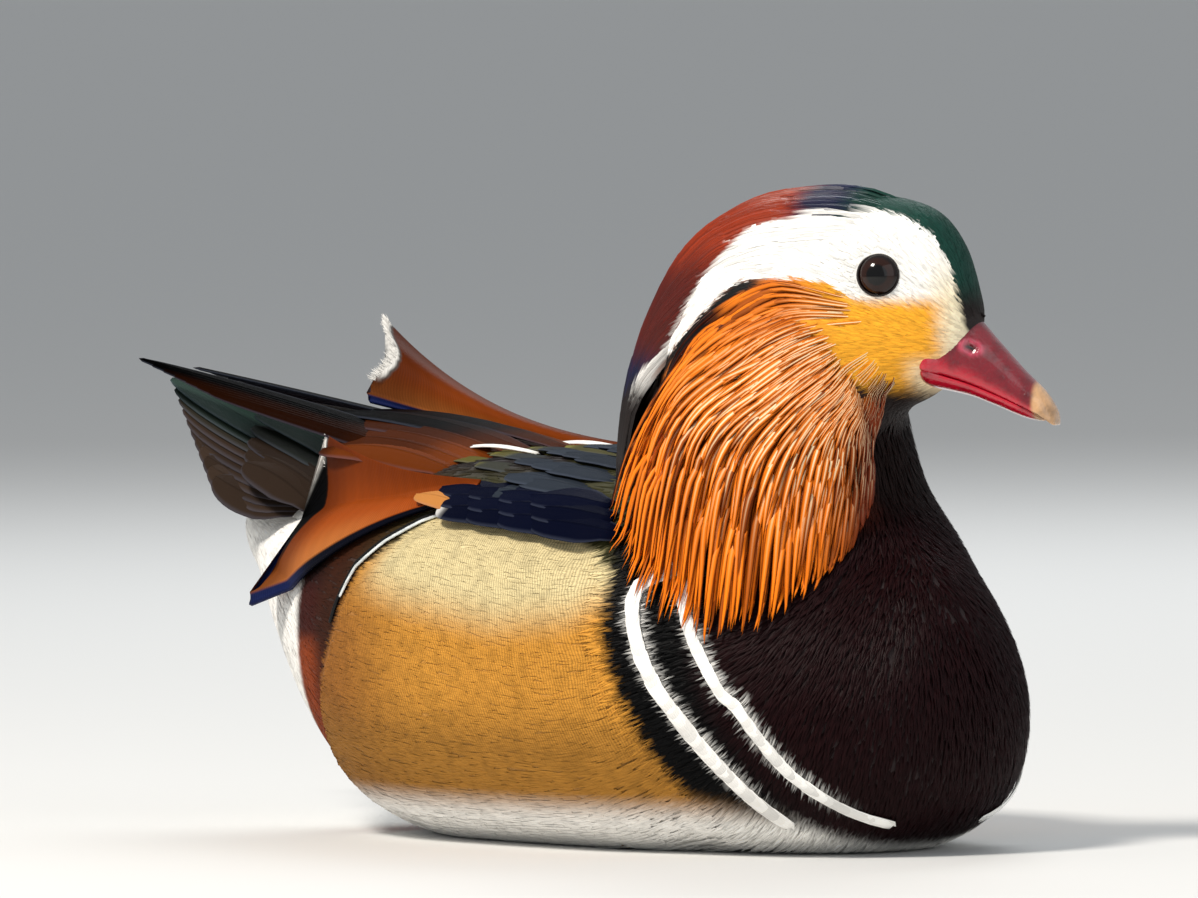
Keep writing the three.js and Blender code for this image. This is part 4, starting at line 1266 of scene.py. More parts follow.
def clear_of_face(points):
    """False inside the eyes' lids and under the bill."""
    u, v, z = to_head(points)
    under_upper = (u > 19.5) & (np.abs(v) < 7) & (z > 110) & (z < 124.5)
    under_lower = (u > 8) & (np.abs(v) < 6) & (z < 112.5)
    off_lids = [np.linalg.norm(points - eye, axis=-1) > EYE_RADIUS + 0.5 for eye in EYES.values()]
    return np.logical_and(*off_lids) & ~under_upper & ~under_lower


def from_eyes(points):
    """0 at the lids, 1 away from both eyes."""
    away = [np.linalg.norm(points - eye, axis=-1) for eye in EYES.values()]
    return smooth(np.minimum(*away), 6, 16)


def flank_place(points):
    """True where the barred flank feathers grow."""
    x, z = points[:, 0], points[:, 2]
    return coat_place(points)[2] & (flank_depth(x, z) > -0.5) & (z > 14)


def rest_place(points):
    """How thick the coat is on the rest of the body: thin where belly or wings hide it, none at the feet."""
    x, z = points[:, 0], points[:, 2]
    hidden = (z < 6) | ((z > 79) & (x > -100))
    bare = flank_place(points) | (pocket(points) > 0) | (z <= 1)
    return (coat_place(points)[2] & ~bare) * np.where(hidden, 0.35, 1)


def barred(points):
    """How strong the fine dark lines are."""
    return smooth(points[..., 2], 18, 30) * smooth(flank_depth(points[..., 0], points[..., 2]), 0, 1)


class DuckHeadCoat(bpy.types.Operator):
    """Short tufts over face and crown, smallest at the eyes"""

    bl_idname = "duck.head_coat"
    bl_label = "Head Coat"

    def execute(self, context):
        tufts("head_tufts", sizes().head_density, lambda p: coat_place(p)[0] & clear_of_face(p), head_lie,
              lambda p: 2.4 + 2.2 * from_eyes(p), lambda p: 0.28 + 0.14 * from_eyes(p), 0.05,
              tuft_finish("head_feathers", dark=0.05), "head_feathers", 0.05, 1, spread=0.06, blur=0.25,
              sink=0.1)
        return {"FINISHED"}


class DuckBreastCoat(bpy.types.Operator):
    """Dark glossy tufts over neck and breast"""

    bl_idname = "duck.breast_coat"
    bl_label = "Breast Coat"

    def execute(self, context):
        tufts("breast_tufts", sizes().breast_density, lambda p: coat_place(p)[1] & (p[:, 2] > 2), body_lie,
              lambda p: 6.5, lambda p: 0.45, 0.14, tuft_finish("breast_feathers", rough=0.4, shine=0.07),
              "body_feathers", 0.3, 2, spread=0.1)
        return {"FINISHED"}


class DuckBodyCoat(bpy.types.Operator):
    """Soft tufts over flanks, belly, back and under the tail"""

    bl_idname = "duck.body_coat"
    bl_label = "Body Coat"

    def execute(self, context):
        material = flank_finish()
        for name, density, keep, seed in (
            ("flank_tufts", sizes().flank_density, flank_place, 3),
            ("body_tufts", sizes().body_density, rest_place, 4),
        ):
            tufts(name, density, keep, body_lie, lambda p: 6.0, lambda p: 0.34, 0.05, material,
                  "body_feathers", 0.04, seed, spread=0.06, sink=0.1, mark=barred)
        return {"FINISHED"}


# Where the tiers of hackles begin, from the cheek at 0 to the tips at 1
RUFF_TIERS = (-0.06, 0.0, 0.06, 0.13, 0.2, 0.27, 0.34, 0.41, 0.48, 0.55, 0.61, 0.66, 0.7)
RUFF_LOCKS = 30  # locks that the tips gather in on one side


def hackle_tier(side, start, t, random):
    """Paths, ways out, half widths, chances and places in the ruff of the hackles that begin about start."""
    count = int(sizes().hackles * (1.4 if start < 0.1 else 1.0))
    f = (np.arange(count) + random.uniform(0.1, 0.9, count)) / count
    low = start + random.normal(0, 0.02, count)
    high = low + mix(0.38, 0.5, max(start, 0)) + random.uniform(-0.12, 0.06, count)
    at = np.clip(mix(low, np.minimum(high, random.uniform(0.93, 1, count)), t), 0, 1)
    gather = 0.4 * smooth(at, 0.5, 1) * ((np.floor(f * RUFF_LOCKS) + 0.5) / RUFF_LOCKS - f)
    sway = gather + random.normal(0, 0.007, count) * np.sin(4 * t + random.uniform(0, 6, count))
    rise = smooth(t, 0, 0.6) * mix(1, random.uniform(0.7, 1, count), smooth(at, 0.3, 0.8))

    def beside(step):
        """Places of the hackles, moved to the nape by a share of the way to the next one."""
        return ruff_point(side, np.clip(f + sway + step / count, 0, 1), at, rise)

    here = beside(0)
    out = unit(here - neck_middle(here[..., 2]))
    room = np.linalg.norm(beside(0.5) - beside(-0.5), axis=-1)
    free = random.uniform(0, 1.2, count) * t ** 3 * max(start, 0)
    half = np.minimum(room * random.uniform(0.5, 1.0, count), 1.25) * (1 - t ** 2.6) ** 0.9 + 0.03
    places = np.stack(np.broadcast_arrays(f, at), -1)
    return here + out * free[..., None], out, half, random.random(count)[None], places


def ruff_colour(f, at, dark):
    """Colours of the hackles with the strength of their streaks as the fourth part: f from throat to nape, at
    from cheek to tips. Hackles whose dark is close to 1 are rusty."""
    cheek = mix(chosen("yolk"), colour("F08A24"), smooth(f, 0.4, 0.9)[..., None])
    tone = layers(
        chosen("ruff"), (cheek, smooth(at, 0.22, 0.02)), (colour("FF820E"), smooth(at, 0.4, 0.8)),
        (colour("702A0C"), smooth(f, 0.36, 0.08)),
        (RUST, 0.7 * smooth(dark, 0.8, 0.95) * smooth(at, 0.05, 0.3)),
        (BLACK, smooth(f, 0.96, 0.98) * smooth(at, 0.36, 0.45)))
    streak = smooth(at, 0.95, 0.4 + 0.2 * (1 - f)) * smooth(f, 0.97, 0.7) * mix(0.45, 1, smooth(f, 0.05, 0.4))
    return np.concatenate([tone, (streak + smooth(at, 0.22, 0.04))[..., None]], -1)


class DuckRuff(bpy.types.Operator):
    """Hackles that fan from the cheeks down over the sides of the neck"""

    bl_idname = "duck.ruff"
    bl_label = "Ruff"

    def execute(self, context):
        t = np.linspace(0, 1, 12)[:, None]
        material = hackle_finish()
        for name, side in SIDES:
            random = np.random.default_rng(sizes().seed + 20 + side)
            tiers = [hackle_tier(side, start, t, random) for start in RUFF_TIERS]
            path, up, wide, chance, place = gathered(tiers)
            colours = ruff_colour(place[..., 0], place[..., 1], random.random(path.shape[1]))
            obj = plumes("ruff_" + name, path, up, wide, LEAF_RING, wide * 0.26 + 0.06, colours, chance[0])
            finish(obj, material, "ruff_feathers")
        return {"FINISHED"}


# The pale rim of the flank feathers at their rear upper edge: height, x
FLANK_RIM = np.array([
    [51, -55.5], [58, -52], [65, -48.2], [71, -40], [76, -30], [79.3, -19], [80.6, -8], [79.6, 1],
])
# Lines of white or dark feathers: middle line, half width, colour, lift
LINES = [
    (*STRIPES[0], WHITE, 1.0),
    (*STRIPES[1], WHITE, 1.0),
    (FLANK_RIM[1:], 0.55, colour("DCE2E2"), 0.8),
    (FLANK_RIM + [0.9, -0.9], 0.7, BLACK, 0.6),
]


class DuckStripes(bpy.types.Operator):
    """White stripes beside the breast and the pale rim of the flank feathers"""

    bl_idname = "duck.stripes"
    bl_label = "Stripes"

    def execute(self, context):
        random = np.random.default_rng(sizes().seed + 30)
        t = np.linspace(0, 1, 7)[:, None]
        for name, side in SIDES:
            groups = []
            for line, half, tone, lift in LINES:
                downward = line[::-1] if line[0, 0] < line[-1, 0] else line
                path, up = chain(downward, side, 1.3, 8.0, len(t), lift, random)
                wide = half * vane_outline(t, 0.4) * random.uniform(0.9, 1.1, path.shape[1])
                groups.append((path, up, wide, np.broadcast_to(tone, path.shape)))
            path, up, wide, tone = gathered(groups)
            chance = random.random(path.shape[1])
            obj = plumes("stripes_" + name, path, up, wide, vane_ring(5), 0.25, tone, chance)
            finish(obj, tuft_finish("stripe_feathers_" + name, dark=0.08), "body_feathers")
        return {"FINISHED"}


# Where the tiers of the crest's strands begin and end, from the forehead at 0 to its end at 1
CREST_TIERS = [(0.0, 0.26), (0.08, 0.4), (0.2, 0.54), (0.34, 0.68), (0.46, 0.8), (0.56, 0.9), (0.64, 1.0)]
CREST_SPREAD = 88  # degrees on each side of the crest's middle line


def crest_tier(start, end, t, random):
    """Paths, ways out and chances of the strands of one tier."""
    count = sizes().crest_strands
    spread = np.linspace(-CREST_SPREAD, CREST_SPREAD, count) + random.normal(0, 1.2, count)
    at = mix(start + random.normal(0, 0.015, count), end - random.uniform(0, 0.08, count), t)
    at = np.clip(at, 0, 1.02)
    turn = spread * (1 - 0.12 * t) + random.normal(0, 1.5, count) * t
    lift = mix(-2.4, 0.6 + random.uniform(-0.3, 0.5, count), smooth(t, 0, 0.5))
    here = crest_point(at, turn, lift)
    return here, unit(here - crest_point(at, 0 * turn, -12 + 0 * lift)), random.random(count)[None]


class DuckCrest(bpy.types.Operator):
    """Hair-like feathers from the forehead over the crown and down the nape"""

    bl_idname = "duck.crest"
    bl_label = "Crest"

    def execute(self, context):
        random = np.random.default_rng(sizes().seed + 40)
        t = np.linspace(0, 1, 10)[:, None]
        path, up, chance = gathered([crest_tier(start, end, t, random) for start, end in CREST_TIERS])
        u, _, z = to_head(path)
        shift = random.normal(0, 0.8, path.shape[1])
        wide = random.uniform(0.5, 0.8, path.shape[1]) * (1 - t ** 3) ** 0.7 + 0.02
        colours = head_colour(u + shift, z + shift)
        obj = plumes("crest", path, up, wide, LOCK_RING, wide * 0.6, colours, chance[0])
        finish(obj, tuft_finish("crest_feathers", rough=0.34, shine=0.3, dark=0.5), "head_feathers")
        return {"FINISHED"}


FEATHER_STATIONS = 1 - (1 - np.linspace(0, 1, 14)) ** 1.6  # along a wing or tail feather, closer at its tip
LONG_FEATHER = 60.0


def lying(side, low, high, width, point):
    """Paths, ways out and half widths of feathers that lie on the body, each from low to high, which are rows
    of x, degrees round and lift."""
    t = FEATHER_STATIONS
    place = mix(np.asarray(low, float), np.asarray(high, float), t[:, None, None])
    lift = place[..., 2] + 1.1 * np.sin(np.pi * t)[:, None]
    path, out = on_torso(place[..., 0], side * place[..., 1], lift)
    return path, out, width / 2 * vane_outline(t, point)[:, None] + 0 * path[..., 0]


def reaching(root, tip, rise, ahead, across, half, point):
    """Paths, ways out and half widths of feathers that leave the body: arcs from root to tip, raised midway
    by rise. Their faces lean by ahead and across from straight up."""
    path = arc(root, (root + tip) / 2 + np.asarray(rise)[..., None] * UPWARD, tip, FEATHER_STATIONS)
    out = unit(np.stack(np.broadcast_arrays(ahead, across, 1.0), -1))
    wide = half * vane_outline(FEATHER_STATIONS, point)[:, None] + 0 * path[..., 0]
    return path, np.broadcast_to(out, path.shape), wide


def graded(feathers, tones, ends):
    """Adds the colours: tones at the root, which turn to ends early on a long feather and late on others."""
    path = feathers[0]
    long = np.linalg.norm(path[-1] - path[0], axis=1) > LONG_FEATHER
    early, late = smooth(FEATHER_STATIONS, 0.15, 0.4), smooth(FEATHER_STATIONS, 0.8, 0.95)
    turn = np.where(long, early[:, None], late[:, None])
    return (*feathers, mix(tones, ends, turn[..., None]))


def lattice(rows, columns):
    """Row and column of every feather in a lattice, as two flat arrays."""
    return (value.ravel() for value in np.meshgrid(np.arange(rows), np.arange(columns), indexing="ij"))


def scapulars(side, random):
    """Steel-dark feathers of shoulder and back, bronze with olive ends further back."""
    row, i = lattice(7, 5)
    jitter = random.normal(0, 0.6, row.shape)
    x = 31 - 11 * row - 2 * i + jitter
    angle = 5 + 7.5 * i + (row % 2) * 3.7 + jitter
    keep = x > 8 - 20 * (i < 3) - 26 * (i < 2)
    i, x, angle = i[keep], x[keep], angle[keep]
    tones = blend(STEEL * 0.6, BRONZE * 0.7, smooth(x, 2, -22))
    ends = blend(tones, colour("8E8A48"), smooth(x, 6, -20) * (0.45 + 0.45 * random.random(len(x))))
    low, high = np.stack([x, angle, 1.0 + 0 * x], -1), np.stack([x - 26, angle - 2, 4.4 - 0.35 * i], -1)
    return graded(lying(side, low, high, 10.0, 0.5), tones, ends)


def coverts(side):
    """Navy feathers over the wing's edge, the hindmost with a white end."""
    row, i = lattice(4, 3)
    x, angle = 40 - 12.5 * row - 4 * i, 50 - 1.5 * row - 5 * i
    tones = NAVY + 0 * x[:, None]
    ends = blend(tones, WHITE, 0.9 * ((row == 3) & (i == 0)))
    low, high = np.stack([x, angle, 1.0 + 0 * x], -1), np.stack([x - 25, angle + 0.5, 3.2 + 0 * x], -1)
    return graded(lying(side, low, high, 11.0, 0.5), tones, ends)


def marks(side):
    """One white feather on the back and one tan one at the wing's lower edge."""
    low = [[-26, 9, 3.5], [-13, 44, 2.0]]
    high = [[-56, 10, 6.2], [-37, 40, 3.4]]
    tones = np.stack([WHITE, colour("D08A48")])
    return graded(lying(side, low, high, np.array([3.2, 7.5]), 0.4), tones, tones)


def tertials(side):
    """Long inner feathers, rusty at the root and dark at the end, the innermost darkest."""
    i = np.arange(5)
    root, _ = on_torso(-34 - 2 * i, side * (4 + 4.2 * i), 2.4 - 0.2 * i)
    tip = np.stack([-113 + 4 * i, side * (5 + 4.6 * i), 99.5 - 2.1 * i], -1)
    tones = blend(BROWN, CHESTNUT, smooth(i, 0, 2) * 0.8)
    feathers = reaching(root, tip, 3.2, 0.1, side * (0.22 + 0.08 * i), 7.0, 0.45)
    return graded(feathers, tones, blend(BLACK, BROWN, smooth(i, 0, 1.5)))


def primaries(side):
    """Narrow feathers that reach past the tail, the left ones behind and under the right ones."""
    i = np.arange(7)
    root, _ = on_torso(-46 + 0 * i, side * (10.5 + 1.1 * i), 2.0)
    across, high = (11, 112) if side < 0 else (6, 109.2)
    tip = np.stack([-184 + 5.6 * i, side * (across + 0.9 * i), high - 1.25 * i], -1)
    tones = blend(BLACK, CHESTNUT, smooth(i, 1, 4))
    feathers = reaching(root, tip, 0.6, 0.2, side * (0.45 + 0.03 * i), 4.1, 0.15)
    return graded(feathers, tones * 0.7, tones * 0.08)


class DuckWings(bpy.types.Operator):
    """Scapulars, coverts, long inner feathers and primaries of the folded wings"""

    bl_idname = "duck.wings"
    bl_label = "Wings"

    def execute(self, context):
        for name, side in SIDES:
            random = np.random.default_rng(sizes().seed + 60 + side)
            others = [part(side) for part in (coverts, marks, tertials, primaries)]
            path, up, wide, colours = gathered([scapulars(side, random), *others])
            obj = plumes("wing_" + name, path, up, wide, vane_ring(11), 0.5, colours,
                         random.random(path.shape[1]), cup=0.12, twist=-0.13 * side,
                         times=FEATHER_STATIONS)
            finish(obj, feather_finish("wing_feathers_" + name, lines=26), "wing_feathers", "wing_" + name)
        return {"FINISHED"}


# Corners of the two sails, the blade's bulge and curl and how late it opens: the right one is half lowered
SAILS = {
    "right": ((-16, -41, 82.5), (-101, -39, 57.5), (-94.7, -21, 96), (0, -4, -2.4), 4, 1),
    "left": ((-32, 27, 88), (-113, 8, 102.5), (-121, 20.5, 121), (0, 2, -2), -3, 3.2),
}
# Where the pale edge of a blade starts across it, how pale it is, how much of its colour the blade keeps
# under painted shade, and the number and length of the strands that fray it
SAIL_EDGES = {"right": (0.8, 1.0, 1.0, 40, 2.0), "left": (0.15, 0.75, 0.6, 460, 4.5)}
QUILL_EDGE = -0.012  # the quill lies on this side of the shaft


def sail_point(name, u, v):
    """Places on a sail: u from the shaft across the blade, v from root to end; and the face's way out."""
    root, low, high, bulge, curl, opening = (np.array(part, float) for part in SAILS[name])
    up = high - low
    upward, out = unit(up), unit(np.cross(low - root, up))
    u, v = (value[..., None] for value in np.broadcast_arrays(u, v))
    quill = mix(root, low, v) + bulge * np.sin(np.pi * v)
    reach = mix(4.0, np.linalg.norm(up), np.maximum(v, 0) ** opening)
    flat = mix(root, quill, 1 + 0.04 * np.cos(2 * np.pi * u) * v)
    flat = flat + upward * reach * u + out * curl * np.sin(np.pi * np.clip(u, 0, 1)) * v
    value = torso_field(flat)
    slope = unit(gradient(torso_field, flat, value))
    return flat + slope * np.clip(1.6 - value, 0, 6)[..., None], out


def sail_colour(name, u, v):
    """Rusty blade with painted light near the shaft and painted shade across and out, black before its pale
    edge; a navy quill with a painted blue glint near its end.
    """
    start, pale, shade, _, _ = SAIL_EDGES[name]
    # Painted shade darkens the blade across toward its top and toward its end; painted light brightens it
    # near the shaft
    blade = layers(
        chosen("sail"), (PAINTED_SAIL_SHADE, smooth(u, 0.35, 1.0) * 0.7),
        (colour("C47A3C"), smooth(u, 0.4, 0.0) * smooth(v, 0.2, 0.6) * 0.75),
        (PAINTED_SAIL_SHADE, smooth(v, 0.7, 0.96) * 0.7), (BLACK, smooth(v, 0.965, 0.98) * smooth(u, 0.05, 0.3)))
    # The whole blade is darkened by its share: painted shade, strongest on the far left sail
    blade = blend(blade * shade, WHITE, smooth(v, 0.975, 0.99) * smooth(u, start, start + 0.15) * pale)
    # The quill brightens from navy to blue toward its end: a painted glint
    quill = blend(colour("090B18"), colour("141E4A"), smooth(v, 0.6, 0.8))
    return np.where(u[:, None] < QUILL_EDGE, quill, blade)


def sail_blade(name):
    """The blade as one closed sheet, thick along its shaft: front and back face are side by side in a row."""
    u = np.linspace(-0.07, 1, 60)[None]
    v = np.linspace(0.02, 1, 90)[:, None]
    ragged = v - 0.005 * np.abs(np.sin(47 * u + 3 * np.sin(9 * u))) * smooth(v, 0.9, 1.0)
    here, out = sail_point(name, u, ragged)
    thick = (mix(0.5, 0.22, np.abs(u)) + 0.9 * np.exp(-(u / 0.02) ** 2))[..., None]
    points, faces = closed_grid(np.concatenate([here + out * thick, (here - out * thick)[:, ::-1]], axis=1))
    across = np.r_[np.concatenate([u + 0 * v, (u + 0 * v)[:, ::-1]], axis=1).ravel(), 0.5, 0.5]
    along = np.r_[np.concatenate([v + 0 * u, v + 0 * u], axis=1).ravel(), 0, 1]
    patch, vane = np.stack([across, along], -1) * 0.9 + 0.05, np.stack([across / 2 + 0.5, along], -1)
    return fill_mesh("sail_" + name, points, faces, sail_colour(name, across, along),
                     np.full(len(points), 0.5), {"OFBake": patch, "Vane": vane})


def sail_fringe(name, random):
    """Fine pale strands that fray the end of a blade."""
    start, _, _, count, length = SAIL_EDGES[name]
    u = random.uniform(start, 1.0, count)
    root, out = sail_point(name, u, np.full(count, 0.985))
    ahead, _ = sail_point(name, u + 0.03, np.full(count, 1.06))
    t = np.linspace(0, 1, 6)
    tip = root + unit(ahead - root) * random.uniform(0.5, 1, count)[:, None] * length
    tip = tip + random.normal(0, 0.3, (count, 3))
    path = arc(root, (root + tip) / 2 + out * random.normal(0, 0.4, (count, 1)), tip, t)
    wide = random.uniform(0.06, 0.15, count) * (1 - t ** 2)[:, None] + 0.02
    return plumes("sail_fringe_" + name, path, np.broadcast_to(out, path.shape), wide, LOCK_RING, wide * 0.5,
                  np.broadcast_to(WHITE * 0.75, path.shape), random.random(count))


class DuckSails(bpy.types.Operator):
    """The broad inner feather of each wing, raised as a sail, with its frayed pale edge"""

    bl_idname = "duck.sails"
    bl_label = "Sails"

    def execute(self, context):
        for name, side in SIDES:
            random = np.random.default_rng(sizes().seed + 80 + side)
            finish(sail_blade(name), sail_finish("sail_vane_" + name), "sail_feathers", "sail_" + name)
            finish(sail_fringe(name, random), tuft_finish("sail_fringe_" + name), "sail_feathers")
        return {"FINISHED"}


def tail_fan(side):
    """The feathers of one half of the tail, from the middle one out and down."""
    i = np.arange(11)
    part = i / 10
    root, _ = on_torso(mix(-106, -110, part), side * (7 + 33 * part), 2.6 - 1.2 * part)
    tip = mix(np.array([-182.0, 2, 107]), np.array([-139.0, 23, 84]), part[:, None]) * [1, side, 1]
    tones = blend(chosen("tail"), TAIL_GREEN, 0.6 * smooth(part, 0.3, 0))
    feathers = reaching(root, tip, -0.3 - 1.2 * part, 0.25, side * (0.12 + 0.6 * part), 6.4, 0.5)
    return graded(feathers, tones, tones)


def tail_coverts(side):
    """Shorter feathers that lie over the roots of the tail."""
    i = np.arange(5)
    root, _ = on_torso(-98 - i, side * (6 + 8 * i), 1.8)
    tip = np.stack([-146 + 4 * i, side * (4 + 4.2 * i), 98.5 - 2.8 * i], -1)
    tones = blend(chosen("tail") * 0.7, TAIL_GREEN, 0.5 * smooth(i, 2, 0))
    feathers = reaching(root, tip, 1.8, 0.25, side * (0.12 + 0.16 * i), 6.0, 0.5)
    return graded(feathers, tones, tones)


class DuckTail(bpy.types.Operator):
    """Tail feathers and their coverts"""

    bl_idname = "duck.tail"
    bl_label = "Tail"

    def execute(self, context):
        random = np.random.default_rng(sizes().seed + 100)
        parts = [part(side) for _, side in SIDES for part in (tail_fan, tail_coverts)]
        path, up, wide, colours = gathered(parts)
        sides = np.repeat([side for _, side in SIDES], path.shape[1] // 2)
        obj = plumes("tail", path, up, wide, vane_ring(11), 0.45, colours, random.random(path.shape[1]),
                     cup=0.1, twist=-0.1 * sides[:, None], times=FEATHER_STATIONS)
        finish(obj, feather_finish("tail_feathers", lines=30), "tail_feathers", "tail")
        return {"FINISHED"}


# The halves of the bill, on the head: forward, half width, bottom, top
BILL = {
    "upper": [
        [5, 0, 115, 117], [8, 11.3, 112.4, 122], [14, 9.7, 111.2, 127.5], [20, 7.9, 109.4, 125.6],
        [26, 6.7, 106.9, 119.2], [32, 5.9, 104.1, 112.6], [37, 5.3, 101.6, 107.6], [39.6, 3.4, 99.6, 103.7],
        [40, 0, 100, 102],
    ],
    "lower": [
        [6, 0, 110.6, 111.6], [8, 10.6, 108.6, 113.2], [14, 9.2, 107.6, 111.6], [20, 7.4, 106.3, 109.7],
        [26, 6.3, 104, 107.2], [32, 5.5, 101.5, 104.4], [35.5, 3.4, 100.6, 102.4], [37, 0, 100.6, 101],
    ],
}
NOSTRIL = (21.2, 117.8)
NAIL = 34.6  # where the pale nail begins


def nostril(u, z):
    """Reach from the middle of the nostril's ring, 1 on the ring, and of its hole, 1 at its edge."""
    ahead, over = u - NOSTRIL[0] + 0.5 * (z - NOSTRIL[1]), z - NOSTRIL[1]
    return np.hypot(ahead / 2.2, over / 1.5), np.hypot((ahead + 0.3) / 1.0, (over + 0.2) / 0.6)


def bill_grid(table, upper):
    """Rings of half a bill: a round outer side and a flat inner one, with the nostrils pressed in."""
    row = np.linspace(POLE, len(table) - 1 - POLE, 110)[:, None]
    u, width, bottom, top = spline(table, row)
    middle = bottom + 0.2 * (top - bottom) if upper else top - 0.2 * (top - bottom)
    turn = np.linspace(0, 2 * np.pi, 72, endpoint=False)[None]
    up = np.cos(turn)
    n = np.where((up > 0) == upper, 2, 6)
    v = np.maximum(width, 0) * power(np.sin(turn), 2 / n)
    z = middle + np.where(up > 0, top - middle, middle - bottom) * power(up, 2 / n)
    u, v, z = np.broadcast_arrays(u, v, z)
    ring, hole = (np.where(upper & (np.abs(v) > 3), value, 9) for value in nostril(u, z))
    out = 0.5 * np.exp(-((ring - 1) / 0.3) ** 2) - 0.3 * smooth(ring, 0.9, 0.5) - 1.2 * smooth(hole, 1.2, 0.6)
    return from_head(u, v + np.sign(v) * out, z)


def bill_colour(points, upper):
    """Crimson, darker along the ridge, with a pale nail, the pale ring of each nostril and painted shade in
    its hole.
    """
    u, v, z = to_head(points)
    ring, hole = nostril(u, z)
    beside = (np.abs(v) > 3) * upper
    return layers(
        chosen("bill"), (colour("7A0A1C"), smooth(z, 113 - 0.45 * (u - 14), 119 - 0.7 * (u - 14))),
        (colour("D8A878"), smooth(u, NAIL, NAIL + 1.2)),
        (colour("D8506A"), np.exp(-((ring - 1) / 0.3) ** 2) * beside * 0.7),
        # painted shade in the nostril's hole
        (THROAT, smooth(hole, 1.3, 0.9) * beside))


class DuckBill(bpy.types.Operator):
    """Both halves of the bill, with nostrils and nail"""

    bl_idname = "duck.bill"
    bl_label = "Bill"

    def execute(self, context):
        material = bill_finish()
        for half, table in BILL.items():
            upper = half == "upper"
            points, faces = closed_grid(bill_grid(table, upper))
            tone = bill_colour(points, upper)
            obj = fill_mesh("bill_" + half, points, faces, tone, np.full(len(points), 0.5))
            finish(obj, material, "bill", "bill_" + half)
        return {"FINISHED"}


EYE_LEAN = (0.16, 0.05)  # how far an eye looks forward and up for each millimetre to the side
# A lid's ring: its radius, how far out from the eye's centre it starts, and the radius and sides of its rim
LID_REACH, LID_OUT, LID_THICK, LID_SIDES = 4.75, 2.6, 0.26, 8


def eye_grid(name, axis, ring):
    """A ball whose poles lie on its axis, and the colours of pupil, iris and rim by degrees from the axis."""
    tilt = np.linspace(0.03, np.pi - 0.03, 40)[:, None]
    points, faces = closed_grid(
        EYES[name] + EYE_RADIUS * (np.cos(tilt)[..., None] * axis + np.sin(tilt)[..., None] * ring))
    far = np.degrees(np.arccos(np.clip(unit(points - EYES[name]) @ axis, -1, 1)))
    tone = layers(
        colour("28120A"), (colour("050404"), smooth(far, 27, 24)), (colour("120806"), smooth(far, 44, 50)))
    return points, faces, tone


def lid_grid(name, axis, ring):
    """A thin closed tube that lies on the head round an eye."""
    around, out = drape(EYES[name] + LID_REACH * ring + LID_OUT * axis, 0.1, steps=4)
    count = len(around)
    turn = np.linspace(0, 2 * np.pi, LID_SIDES, endpoint=False)[:, None, None]
    wall = along_normal(ring, out)
    tube = around + LID_THICK * (np.cos(turn) * wall + np.sin(turn) * out)
    joint = grid_faces(2, count)
    joint = np.where(joint >= count, joint - count, joint + (LID_SIDES - 1) * count)
    return tube.reshape(-1, 3), [grid_faces(LID_SIDES, count), joint]


class DuckEyes(bpy.types.Operator):
    """Dark eyes with their lids"""

    bl_idname = "duck.eyes"
    bl_label = "Eyes"

    def execute(self, context):
        material, lid = eye_finish(), lid_finish()
        turn = np.linspace(0, 2 * np.pi, 48, endpoint=False)[:, None]
        for name, side in SIDES:
            axis = unit(side * LEFTWARD + EYE_LEAN[0] * FORWARD + EYE_LEAN[1] * UPWARD)
            first = unit(np.cross(axis, UPWARD))
            ring = np.cos(turn) * first + np.sin(turn) * np.cross(axis, first)
            points, faces, tone = eye_grid(name, axis, ring)
            obj = fill_mesh("eye_" + name, points, faces, tone, np.full(len(points), 0.5))
            finish(obj, material, "eye", "eye_" + name)
            points, faces = lid_grid(name, axis, ring)
            obj = fill_mesh("lid_" + name, points, faces, LID_BROWN + 0 * points, np.full(len(points), 0.5))
            finish(obj, lid, "head_feathers")
        return {"FINISHED"}


TOES = (0.04, 0.5, 0.96)  # where the toes lie across the web


def web_grid(side):
    """Upper face and flat sole of one foot, as rings, with its colours: u runs across the web and v from the
    ankle to the ends of the toes, which stand on the web as round ridges, crossed by scutes."""
    ankle = np.array([ANKLE[0], side * ANKLE[1], 0.0])
    u, v = np.linspace(0, 1, 72)[None], np.linspace(0, 1, 70)[:, None]
    toe = sum(np.exp(-((u - middle) / 0.055) ** 2) for middle in TOES)
    fan = np.radians(mix(-TOE_SPREAD, TOE_SPREAD, u))
    lobes = 1 - 0.14 * np.sin(2 * np.pi * u) ** 2 * v
    reach = mix(3, FOOT_LENGTH, v) * lobes * (1 - 0.12 * np.abs(2 * u - 1))
    scutes = 0.18 * np.abs(np.sin(v * 40)) * toe
    high = 0.9 + 0.12 * np.sin(v * 90 + 6 * np.sin(9 * u)) + (2.0 - 0.7 * v) * toe + scutes
    top = ankle + np.stack(np.broadcast_arrays(reach * np.cos(fan), side * reach * np.sin(fan), high), -1)
    sole = top * [1, 1, 0] + [0, 0, FLOOR_GAP]
    tone = blend(colour("B87030"), colour("D89038"), np.clip(toe, 0, 1) + 0 * v)
    tone = np.concatenate([tone, tone[:, ::-1]], axis=1).reshape(-1, 3)
    rings = np.concatenate([top, sole[:, ::-1]], axis=1)
    return rings, np.concatenate([tone, tone[:1], tone[-1:]])


